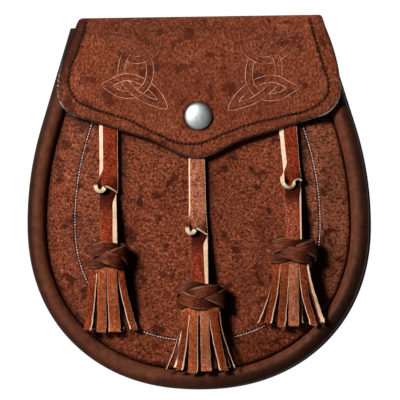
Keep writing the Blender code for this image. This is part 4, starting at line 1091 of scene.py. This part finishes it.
# upper and lower: left and right sides where each run starts and where it ends, in mm; creams: its pale cut edges;
# curl: the wavy end of the upper run, from left to right; dark: where the painted shade on the lower run fades, and
# over what; and the strength of painted shade on the upper run's left cut edge where it curls
STRAPS = {
    "left": dict(top=0.0580, upper=((-52.3, -42.1), (-52.2, -42.1)), upper_cream=(2.2, 0.15), cream_end=1.65, cut_shade=0.97,
                 lower=((-52.4, -43.3), (-51.6, -42.0)), lower_cream=((0.15, 1.7), (0.15, 2.6)), dark=(0.0040, 0.0160),
                 curl=((-52.2, 10.3), (-52.3, 8.6), (-51.4, 7.4), (-50.4, 8.0), (-49.7, 9.2), (-48.6, 9.8),
                       (-46.6, 9.1), (-44.4, 7.8), (-42.2, 6.2))),
    "centre": dict(top=0.0370, upper=((-4.3, 4.3), (-4.4, 5.3)), upper_cream=(1.0, 0.15), cream_end=1.7, cut_shade=0.97,
                   lower=((-3.4, 5.7), (-2.7, 6.4)), lower_cream=((0.15, 2.9), (0.15, 1.7)), dark=(0.0035, 0.0135),
                   curl=((-3.4, -12.6), (-3.5, -14.3), (-2.8, -15.6), (-1.9, -14.6), (-1.0, -13.4), (0.6, -13.3),
                         (2.4, -14.4), (4.2, -15.6), (5.9, -16.9))),
    "right": dict(top=0.0580, upper=((42.2, 52.7), (47.0, 55.8)), upper_cream=(2.5, 0.15), cream_end=1.5, cut_shade=0.0,
                  lower=((46.9, 55.8), (48.0, 56.4)), lower_cream=((0.15, 0.9), (0.15, 0.9)), dark=(0.0066, 0.0080),
                  curl=((47.4, 12.4), (47.5, 10.6), (48.6, 8.9), (50.1, 8.1), (51.3, 9.3), (52.2, 11.2), (54.0, 12.3),
                        (55.4, 12.4), (56.5, 11.5))),
}


def surface_normals(grid):
    """Unit normals of a grid of points whose rows run down and columns run right."""
    return unit(np.cross(np.gradient(grid, axis=1), -np.gradient(grid, axis=0)))


def cut_strip(name, face, thickness, slants, materials, end=1):
    """Strip of leather under a face. Its sides are cut on a slant, so that the pale inside shows beside it."""
    normal = surface_normals(face)
    sideways = unit(np.gradient(face, axis=1) * (1.0, 1.0, 0.0))
    left, right = [np.broadcast_to(np.asarray(slant, dtype=float), (len(face),))[:, None] for slant in slants]
    left_side, right_side = face[:, 0] - left * sideways[:, 0], face[:, -1] + right * sideways[:, -1]
    level = np.concatenate([left_side[:, None], face, right_side[:, None]], axis=1)
    normal = np.concatenate([normal[:, :1], normal, normal[:, -1:]], axis=1)
    depth = thickness * np.ones(face.shape[:2])
    depth = np.concatenate([depth[:, :1], depth, depth[:, -1:]], axis=1)[..., None]
    outer = level.copy()
    outer[:, 0] -= CUT_DROP * depth[:, 0] * normal[:, 0]
    outer[:, -1] -= 0.05 * CUT_DROP * depth[:, -1] * normal[:, -1]
    return slab(name, outer, level - depth * normal, materials,
                rims={"first": 1, "last": end, "left": 1, "right": 1}, edge_round=STRIP_EDGE_ROUND, cut_sides=True)


def crowned(across, height=0.00035):
    """Slight rise of a strip's middle over its sides."""
    return height * (1.0 - across ** 4)


def thong_paint(name, dark, middle, light, streak, roughness, fuzz=0.0, flecked=0.80):
    """Thong leather: streaks along its length, scuffs, a raised nap where it is rough, darker where marked."""
    paint = Paint(name, roughness)
    lengthways = paint.stretched((1.0, 0.45, 1.0))
    colour = paint.clouded(middle, light, (0.0030, 4.0, 0.6, lengthways), 0.35, 0.65)
    colour = paint.clouded(colour, dark, (0.0013, 3.0, 0.70, lengthways), 0.45, 0.60, flecked)
    colour = paint.clouded(colour, streak, (0.0010, 3.0, 0.75), 0.54, 0.64, 0.70)
    # painted shade where marked
    colour = paint.blend(paint.attribute("burnish_and_painted_shade"), colour, scaled(dark, 0.45))
    paint.bump(paint.noise(0.0009, 4.0, 0.7, lengthways), 0.00008 + fuzz)
    paint.bump(paint.noise(0.0005, 3.0, 0.7), 0.00003 + fuzz)
    paint.bump(paint.noise(0.0050, 3.0), 0.00025)
    return paint.done(colour, Specular_IOR_Level=0.02)


smooth_thong = thong_paint("smooth_thong_leather", (0.060, 0.0030, 0.0006), (0.148, 0.0120, 0.0026),
                           (0.222, 0.0280, 0.0078), (0.420, 0.125, 0.062), 0.5)
rough_thong = thong_paint("rough_thong_leather", (0.075, 0.0115, 0.0042), (0.258, 0.060, 0.0265),
                          (0.385, 0.120, 0.062), (0.720, 0.400, 0.275), 0.85, fuzz=0.00010)
worn_thong = thong_paint("worn_thong_leather", (0.070, 0.008, 0.003), (0.180, 0.024, 0.009),
                         (0.265, 0.050, 0.021), (0.520, 0.210, 0.125), 0.85, fuzz=0.00010)
# painted light: a paler copy of the raw cut leather for the curled ends' cut faces, which turn from the lamp; painted
# shade where marked
lit_end_leather = plain_leather("lit_cut_leather", (0.62, 0.36, 0.17), (0.95, 0.68, 0.40), (1.0, 0.82, 0.56),
                            roughness=0.8, grain_size=0.0005, gloss=0.03, marked="painted_shade_on_cut")
wide = np.linspace(-1.0, 1.0, 41)
for side_name, strap in STRAPS.items():
    knot_x, knot_y, knot_width, knot_height, weave_turn = KNOTS[side_name]
    cream_left, cream_right = [MM * value for value in strap["upper_cream"]]
    curve = smooth_line(np.array(strap["curl"]) * MM, 10)
    travel = travelled(curve)
    wave_x, wave_y = [np.interp(0.5 * (wide + 1.0) * travel[-1], travel, curve[:, i]) for i in (0, 1)]
    top_y, end_y = strap["top"], curve[:, 1].mean()
    face, slant, thickness = [], [], []
    for number, along in enumerate(np.linspace(0.0, 1.0, 60)):
        y = top_y + (end_y - top_y) * (1.0 - (1.0 - along) ** CURL_CROWDING)
        low, high = [MM * (a + (b - a) * (top_y - y) / (top_y - end_y)) for a, b in zip(*strap["upper"])]
        curl = max(0.0, 1.0 - (y - end_y) / CURL_LENGTH)
        kept = 1.0 - CREAM_LOST * rise(strap["cream_end"] * curl)
        slant.append((cream_left * kept * (1.0 + CUT_WAVE * ripple(np.array(0.9 * number), 4)), cream_right))
        x = low + cream_left * kept + (high - low - cream_left * kept - cream_right) * 0.5 * (wide + 1.0)
        lift = CURL_RISE * curl ** 3.4 * (0.68 - 0.38 * wide) + 0.20 * curl ** 2 * (wave_y - end_y)
        thickness.append(THONG * (1.0 - CURL_THINNER * curl ** 2 * rise(wide, -0.05, 0.35)))
        face.append(points_at(x + curl ** 2.5 * (wave_x - x), y + curl ** 2.2 * (wave_y - end_y),
                              LYING_Z + crowned(wide, 0.0003) + lift))
    cover = rough_thong if side_name == "centre" else smooth_thong
    upper = cut_strip("strap_%s_upper" % side_name, np.array(face), np.array(thickness), np.array(slant).T,
                      [cover, raw_leather, lit_end_leather], end=2)
    x, y, z = points_of(upper).T
    curled = 1.0 - (y - end_y) / CURL_LENGTH
    at_right = rise(x, 0.5 * (low + high), 0.6 * (high - low))
    # painted shade on the curled end, deeper towards its right
    mark(upper, "burnish_and_painted_shade", np.clip(rise(1.5 * curled, 0.2) * (0.30 + 0.62 * at_right), 0.0, 0.95))
    # painted shade on the left cut edge where the end curls
    painted_shade_on_cut = (x < low + 0.0012) * rise(curled, 0.85 / strap["cream_end"], 0.1) * fall(curled, 0.84, 0.1)
    mark(upper, "painted_shade_on_cut", strap["cut_shade"] * painted_shade_on_cut)
    finish_piece(upper, "thong_leather", "strap_" + side_name)

    start_y = end_y + RUN_ABOVE_LOOP
    stop_y = knot_y + 0.20 * knot_height
    face, slant = [], []
    for along in np.linspace(0.0, 1.0, 30):
        y = start_y + (stop_y - start_y) * along
        shown = rise(end_y - 0.0020 - y, 0.0, 0.0065)
        uneven_cut = 1.0 + 1.2 * CUT_WAVE * ripple(np.array(30.0 * along), 8)
        slant.append([MM * max(THIN_CREAM, (a + (b - a) * along) * shown) * uneven_cut
                      for a, b in zip(*strap["lower_cream"])])
        low, high = [MM * (a + (b - a) * along) for a, b in zip(*strap["lower"])]
        low, high = low + slant[-1][0], high - slant[-1][1]
        z = LYING_Z - RUN_DROP + crowned(wide) + (KNOT_Z + 0.5 * THONG - LYING_Z) * rise(along)
        face.append(points_at(0.5 * (low + high) + 0.5 * (high - low) * wide, y, z))
    cover = worn_thong if side_name == "right" else smooth_thong
    run_piece = cut_strip("strap_%s_run" % side_name, np.array(face), THONG, np.array(slant).T, [cover, raw_leather])
    below_end = end_y - points_of(run_piece)[:, 1]
    # painted shade on the run's face under the curled end
    mark(run_piece, "burnish_and_painted_shade", 0.95 * fall(below_end, *strap["dark"]))
    # painted shade on the run's cut edges just under the curled end
    mark(run_piece, "painted_shade_on_cut", 0.7 * fall(below_end, 0.0020, 0.0030))
    finish_piece(run_piece, "thong_leather", "strap_" + side_name)

# ---- Knots ----
# Each tassel is bound by a Turk's head: one flat dark strip plaited three times round the
# rolled head, over and under itself, and drawn tight.
KNOT_LEADS = 3
KNOT_BIGHTS = 4
WEAVE_SWING = 0.54
KNOT_TOP_SHARE = 0.58               # how wide the barrel still is at its ends
KNOT_BOTTOM_SHARE = 0.80
STRAND_HALF = 0.0034
STRAND_THICK = 0.0014
STRAND_DIP = 0.0024
STRAND_STEPS = 300
STRAND_SIDES = 16
CORE_SHAPE = (9, 40)                # rows and columns of the plain core inside
CORE_INSIDE = 0.0026
# painted shade: where the strip dives under, over the knot's right side, and on the core inside
DIVE_SHADE, SIDE_SHADE, CORE_SHADE = 0.92, 0.62, 0.9
CREASE_LENGTH, CREASE_WIDTH = 0.0070, 0.00055
# height of the knot's top edge, from left to right
KNOT_TOPS = {"left": ((-1.0, 0.75), (-0.5, 1.0), (-0.1, 0.98), (0.5, 0.92), (1.0, 0.75)),
             "centre": ((-1.0, 0.75), (-0.45, 1.0), (0.0, 0.80), (0.5, 0.68), (1.0, 0.6)),
             "right": ((-1.0, 0.95), (-0.6, 1.0), (-0.1, 0.94), (0.1, 0.80), (0.4, 0.92), (1.0, 0.8))}


def strand_paint():
    """Dark strip with fine creases along it, paler in patches at its two edges, partly wear and partly a painted
    highlight, and with painted shade where it dives under, on the knot's right side and on its core.
    """
    paint = Paint("dark_knot_leather", 0.5)
    strand = paint.add("ShaderNodeCombineXYZ", {"X": paint.attribute("along"), "Y": paint.attribute("across")})
    creases = paint.noise(1.0, 3.0, 0.65, strand)
    colour = paint.clouded((0.078, 0.0110, 0.0028), (0.160, 0.034, 0.0118), (0.0035, 3.0), 0.36, 0.62)
    colour = paint.blend(paint.span(creases, 0.46, 0.60, 0.80), colour, (0.016, 0.003, 0.001))
    colour = paint.blend(paint.span(creases, 0.42, 0.30, 0.55), colour, (0.250, 0.078, 0.038))
    pale_patches = paint.times(paint.attribute("edge"), paint.span(paint.noise(0.0020, 2.0), 0.38, 0.60, 0.85))
    colour = paint.blend(pale_patches, colour, (0.330, 0.130, 0.075))
    # painted shade where marked
    colour = paint.blend(paint.attribute("painted_knot_shade"), colour, (0.007, 0.002, 0.001))
    paint.bump(creases, 0.00018)
    paint.bump(paint.noise(0.0015, 3.0), 0.00008)
    return paint.done(colour, Specular_IOR_Level=0.07)


knot_leather = strand_paint()


def on_barrel(angle, level, inward, centre, width, height):
    """Point on the knot's barrel, moved inwards."""
    narrow = np.where(level > 0.0, KNOT_TOP_SHARE, KNOT_BOTTOM_SHARE)
    swell = narrow + (1.0 - narrow) * np.sqrt(np.maximum(0.0, 1.0 - np.minimum(level ** 4, 1.0)))
    return points_at(centre[0] + (swell * 0.5 * width - inward) * np.cos(angle), centre[1] + 0.5 * height * level,
                     centre[2] + (swell * 0.5 * KNOT_DEPTH - inward) * np.sin(angle))


for side_name, (knot_x, knot_y, knot_width, knot_height, weave_turn) in KNOTS.items():
    barrel = (knot_x, knot_y, KNOT_Z), knot_width, knot_height
    travel = np.linspace(0.0, 2.0 * np.pi, STRAND_STEPS, endpoint=False)
    angle = KNOT_LEADS * travel - weave_turn
    level = WEAVE_SWING * np.cos(KNOT_BIGHTS * travel)
    diving = 0.5 * (1.0 - np.sin(2.0 * KNOT_BIGHTS * travel))
    inward = 0.5 * STRAND_THICK + STRAND_DIP * diving
    path = on_barrel(angle, level, inward, *barrel)
    outside = unit(on_barrel(angle, level, inward - 0.001, *barrel) - path)
    forward = unit(np.roll(path, -1, axis=0) - np.roll(path, 1, axis=0))
    across_strand = unit(np.cross(forward, outside))
    outside = np.cross(across_strand, forward)
    share = np.linspace(0.0, 2.0 * np.pi, STRAND_SIDES, endpoint=False)
    ring_across = np.sign(np.cos(share)) * np.abs(np.cos(share)) ** 0.8 * STRAND_HALF
    ring_out = np.sign(np.sin(share)) * np.abs(np.sin(share)) ** 0.45 * 0.5 * STRAND_THICK
    strand = (path[:, None, :] + ring_across[None, :, None] * across_strand[:, None, :]
              + (ring_out - 0.05 * ring_across ** 2 / STRAND_HALF)[None, :, None] * outside[:, None, :])
    levels = np.linspace(-0.92, 0.92, CORE_SHAPE[0])
    turns = np.linspace(0.0, 2.0 * np.pi, CORE_SHAPE[1], endpoint=False)
    core = on_barrel(turns[None, :], levels[:, None], CORE_INSIDE, *barrel)
    points, core = strand.reshape(-1, 3), core.reshape(-1, 3)
    whole = np.vstack([points, core])
    top_share, top_height = np.array(KNOT_TOPS[side_name]).T
    lowered = np.interp((whole[:, 0] - knot_x) / (0.5 * knot_width), top_share, top_height)
    whole[:, 1] = np.where(whole[:, 1] > knot_y, knot_y + (whole[:, 1] - knot_y) * lowered, whole[:, 1])
    strand_length = np.cumsum(np.linalg.norm(np.diff(path, axis=0, append=path[:1]), axis=1))
    pale_edge = np.clip((np.abs(ring_across) / STRAND_HALF - 0.86) / 0.08, 0.0, 1.0)
    # painted shade on the knot's right side, turned from the lamp
    shade = SIDE_SHADE * rise(points[:, 0], knot_x, 0.5 * knot_width)
    painted_knot_shade = np.maximum(np.repeat(DIVE_SHADE * diving ** 2, STRAND_SIDES), shade)
    rest = np.zeros(len(core))
    marks = dict(along=np.append(np.repeat(strand_length / CREASE_LENGTH, STRAND_SIDES), rest),
                 across=np.append(np.tile(ring_across / CREASE_WIDTH, len(path)), rest),
                 edge=np.append(np.tile(pale_edge, len(path)), rest), painted_knot_shade=np.append(painted_knot_shade, rest + CORE_SHADE))
    faces = (grid_faces(len(path), STRAND_SIDES, wrap=True, loop=True)
             + barrel_faces(*CORE_SHAPE, start=len(points)))
    knot = new_piece("knot_%s_woven" % side_name, whole, faces, [knot_leather], **marks)
    settle(knot, sharp=45.0)
    finish_piece(knot, "knot_leather", "knot_" + side_name)

# ---- Tassels ----
# A piece of orange-brown leather is rolled into a head inside the knot and cut below it into
# strips, which fan out over the face in two layers and show their pale cut edges.
STRIP_THICK = 0.0018
STRIP_REST = 0.0008
STRIP_COLUMNS = 9
HEAD_SHAPE = (8, 48)                # rows and columns of the rolled head
HEAD_INSIDE = 0.0033                # how far it lies inside the knot
STRIP_HUMP = 0.0010
STRIP_FLICK = 0.0006
STRIP_SWAY = 0.00025
STRIP_RIPPLE = 0.0002
STRIP_CROWN = (0.00022, 0.06)       # at most this high, and this share of its width
STRIP_TILT = 0.35
HEAD_PLEATS, PLEAT_DEPTH = 9.0, 0.01
STRIP_SHARES = np.concatenate([np.linspace(0.0, 0.94, 16), (0.96, 0.975, 0.99, 1.0)])
# each strip, in mm: its sides at the lower end, its sides at the knot, its pale edges left and right; then its shade,
# the number of its leather, where 1 is partly and 3 wholly painted shade, and how late it fans out. Where those four
# aren't given, they are those of HIDDEN
HIDDEN = (0.12, 0.12, 3, 1.5)
FRINGES = {
    "left": dict(end=-68.5, bow=1.2, front=(
        (-61.3, -56.9, -57.4, -52.8, 0.12, 0.75, 1, 1.5), (-54.2, -48.9, -52.4, -47.6, 0.12, 0.12, 0, 1.3),
        (-47.6, -41.1, -47.5, -42.2, 0.45, 0.12, 0, 1.3), (-36.4, -32.0, -42.2, -38.6, 0.85, 0.12, 1, 1.4)),
        behind=((-60.0, -55.0, -56.5, -52.5), (-53.0, -47.0, -51.5, -47.5),
                (-46.0, -39.5, -47.0, -43.0), (-39.0, -34.5, -43.0, -39.5))),
    "centre": dict(end=-90.3, bow=2.1, front=(
        (-17.15, -16.35, -7.8, -7.0, 0.62, 0.05, 1, 1.5), (-11.5, -7.8, -7.3, -3.5, 0.12, 0.85, 1, 1.35),
        (-5.5, -0.1, -3.5, 1.0, 0.12, 0.40, 0, 1.3), (1.7, 7.3, 1.9, 6.7, 0.22, 0.12, 2, 1.3),
        (11.4, 15.9, 6.4, 11.2, 0.80, 0.12, 1, 1.3), (19.4, 20.2, 12.1, 12.8, 0.50, 0.05, 1, 1.7)),
        behind=((-13.2, -10.4, -8.0, -5.8, 1.30, 0.12, 1, 1.6), (-9.6, -4.6, -5.4, -2.0),
                (-2.4, 3.2, -2.0, 3.6), (5.6, 11.6, 3.6, 8.0), (13.2, 17.6, 8.0, 11.6))),
    "right": dict(end=-66.1, bow=1.9, front=(
        (32.2, 32.95, 40.9, 41.6, 0.60, 0.05, 1, 1.65), (35.3, 39.6, 41.4, 44.9, 0.12, 0.75, 1, 1.6),
        (42.5, 47.0, 45.1, 49.6, 0.12, 0.50, 1, 1.5), (48.6, 54.2, 49.2, 54.6, 0.12, 0.12, 2, 1.3),
        (60.0, 63.8, 54.8, 58.6, 0.75, 0.12, 1, 2.4), (65.2, 68.2, 57.6, 59.7, 0.12, 2.20, 1, 1.35)),
        behind=((34.0, 38.0, 41.4, 44.0, 0.12, 0.12, 3, 1.6), (39.0, 44.6, 44.0, 47.4),
                (45.0, 50.0, 47.4, 51.0, 0.12, 0.12, 3, 1.4), (53.8, 56.4, 53.0, 55.6, 0.12, 0.50, 1, 1.8),
                (61.0, 65.6, 56.4, 59.0))),
}

fringe_leathers = [
    thong_paint("orange_fringe_leather", (0.070, 0.008, 0.0015), (0.215, 0.034, 0.0085), (0.335, 0.076, 0.0235),
                (0.560, 0.230, 0.110), 0.55, flecked=0.45),
    # darker brown strips: partly their own darker tone, partly painted shade for strips that lie in shade
    thong_paint("brown_fringe_leather", (0.040, 0.0045, 0.0008), (0.120, 0.0145, 0.0032), (0.215, 0.038, 0.0110),
                (0.400, 0.130, 0.062), 0.55, flecked=0.50),
    thong_paint("rough_fringe_leather", (0.105, 0.020, 0.006), (0.270, 0.062, 0.023), (0.390, 0.125, 0.056),
                (0.600, 0.320, 0.200), 0.80, fuzz=0.00010, flecked=0.50),
    # painted shade: a near-black copy for the hidden strips behind, which lie in shade
    thong_paint("shaded_inner_fringe_leather", (0.012, 0.003, 0.002), (0.030, 0.006, 0.003), (0.060, 0.012, 0.005),
                (0.140, 0.040, 0.020), 0.60)]
for side_name, fringe in FRINGES.items():
    knot_x, knot_y, knot_width, knot_height, weave_turn = KNOTS[side_name]
    head_half, head_depth = 0.5 * knot_width - HEAD_INSIDE, 0.5 * KNOT_DEPTH - HEAD_INSIDE
    head_turn = np.linspace(0.0, 2.0 * np.pi, HEAD_SHAPE[1], endpoint=False)
    head_y = np.linspace(knot_y + 0.25 * knot_height, knot_y - 0.5 * knot_height - 0.0026, HEAD_SHAPE[0])
    pleat = 1.0 + PLEAT_DEPTH * np.sin(head_turn * HEAD_PLEATS)
    head = [points_at(knot_x + head_half * np.cos(head_turn) * pleat, y,
                      KNOT_Z + head_depth * np.sin(head_turn) * pleat) for y in head_y]
    head_piece = new_piece("fringe_%s_head" % side_name, head, barrel_faces(*HEAD_SHAPE), [fringe_leathers[0]])
    settle(head_piece, sharp=50.0)
    finish_piece(head_piece, "fringe_leather", "fringe_" + side_name)
    for layer in ("front", "behind"):
        in_front = layer == "front"
        strips = fringe[layer]
        low, high = strips[0][0], strips[-1][1]
        for number, strip in enumerate(strips):
            cream_left, cream_right, shade, power = strip[4:] or HIDDEN
            left, right, top_left, top_right, cream_left, cream_right = [
                MM * value for value in (*strip[:4], cream_left, cream_right)]
            spread = (500.0 * (left + right) - 0.5 * (low + high)) / (0.5 * (high - low))
            lean = np.clip((0.5 * (top_left + top_right) - knot_x) / head_half, -0.93, 0.93)
            bulge = head_depth * math.sqrt(1.0 - lean ** 2)
            top_z = KNOT_Z + bulge if in_front else KNOT_Z - bulge + STRIP_THICK
            end_z = FACE_Z + STRIP_REST + STRIP_THICK + (STRIP_THICK + 2 * GAP if in_front else 0.0)
            start_y = knot_y - 0.5 * knot_height - 2 * GAP
            end_y = MM * (fringe["end"] + fringe["bow"] * spread ** 2) + (0.0005 if number % 2 else 0.0)
            end_y += 0.0 if in_front else 0.0010
            seed = 10 * number + len(side_name) + (5 if in_front else 0)
            wave = ripple(np.linspace(0.0, 4.0, len(STRIP_SHARES)), seed, waves=3) * STRIP_SHARES
            strip_wide = np.linspace(-1.0, 1.0, STRIP_COLUMNS)
            face, slant = [], []
            for along, swing in zip(STRIP_SHARES, wave):
                fan = along ** power
                shown = 0.35 + 0.65 * along
                slant.append((cream_left * shown, cream_right * shown))
                low_x = top_left + (left - top_left) * fan + STRIP_SWAY * swing + slant[-1][0]
                high_x = top_right + (right - top_right) * fan + STRIP_SWAY * swing - slant[-1][1]
                middle, width = 0.5 * (low_x + high_x), high_x - low_x
                crown = min(STRIP_CROWN[0], STRIP_CROWN[1] * width)
                x = middle + 0.5 * width * strip_wide
                tilt = STRIP_TILT * (1.0 - along) * lean * (-1.0 if in_front else 1.0)
                z = top_z + (end_z - top_z) * rise(along)
                if in_front:
                    z += STRIP_HUMP * math.sin(math.pi * min(1.0, 1.25 * along)) + STRIP_FLICK * rise(along, 0.93, 0.07)
                z = z + (x - middle) * tilt + crowned(strip_wide, crown) + STRIP_RIPPLE * swing
                face.append(points_at(x, start_y + (end_y - start_y) * along, z))
            strip_piece = cut_strip("fringe_%s_%s_%d" % (side_name, layer, number + 1), np.array(face), STRIP_THICK,
                                    np.array(slant).T, [fringe_leathers[shade], raw_leather])
            finish_piece(strip_piece, "fringe_leather", "fringe_" + side_name)

# ---- Belt loops ----
# Two strips of the back's leather, each stitched down at both ends with room for the belt
# under its middle. Their cut edges are painted black.
LOOP_WIDTH = 0.0220
LOOP_TOP_Y = 0.0700
LOOP_BOTTOM_Y = 0.0210
LOOP_FOOT = 0.0090
LOOP_RAMP = 0.0050
LOOP_LEATHER = 0.0020
LOOP_BEND = 0.0018
LOOP_X = 0.0450
LOOP_SEAM_IN = 0.0028               # the stitched box lies this far inside the strip's sides
LOOP_STITCH = dict(Pitch=0.0030, Length=0.0024, Width=0.0007, Height=0.0005)

foot_z = BACK_SEAM_Z - GAP - LOOP_LEATHER
loop_corners = [(LOOP_TOP_Y, foot_z), (LOOP_TOP_Y - LOOP_FOOT, foot_z), (LOOP_TOP_Y - LOOP_FOOT - LOOP_RAMP, 0.0),
                (LOOP_BOTTOM_Y + LOOP_FOOT + LOOP_RAMP, 0.0), (LOOP_BOTTOM_Y + LOOP_FOOT, foot_z),
                (LOOP_BOTTOM_Y, foot_z)]
loop_line = [loop_corners[0]]
for before, corner, after in zip(loop_corners, loop_corners[1:], loop_corners[2:]):
    back, on = [LOOP_BEND * unit(np.subtract(end, corner)) for end in (before, after)]
    for share in np.linspace(0.0, 1.0, 7):
        loop_line.append(corner + back * (1.0 - share) ** 2 + on * share ** 2)
loop_line = np.vstack(loop_line + [loop_corners[-1]])
loop_wide = np.linspace(-1.0, 1.0, 21)
for side_name, loop_x in (("left", -LOOP_X), ("right", LOOP_X)):
    outer = np.array([[(loop_x + 0.5 * LOOP_WIDTH * share, y, z) for share in loop_wide] for y, z in loop_line])
    inside = -LOOP_LEATHER * normals_of(loop_line)
    inner = outer + np.column_stack([np.zeros(len(inside)), inside])[:, None, :]
    loop = slab("belt_loop_%s_leather" % side_name, outer, inner, [back_leather, edge_paint],
                rims={"first": 1, "last": 1, "left": 1, "right": 1})
    finish_piece(loop, "back_leather", "belt_loop_" + side_name)
    for end_name, from_y, step in (("top", LOOP_TOP_Y, -1.0), ("bottom", LOOP_BOTTOM_Y, 1.0)):
        near, far = from_y + step * 0.0025, from_y + step * (LOOP_FOOT - 0.0022)
        box_x = 0.5 * LOOP_WIDTH - LOOP_SEAM_IN
        corners = [(-box_x, near), (box_x, near), (box_x, far), (-box_x, far), (-box_x, near)]
        line = []
        for (ax, ay), (bx, by) in zip(corners, corners[1:]):
            steps = np.linspace(0.0, 1.0, 12)[:-1]
            line += [(loop_x + ax + (bx - ax) * s, ay + (by - ay) * s) for s in steps]
        stitch_along("belt_loop_%s_%s_stitches" % (side_name, end_name), line + [line[0]], foot_z, back_thread,
                     "back_leather", **LOOP_STITCH)
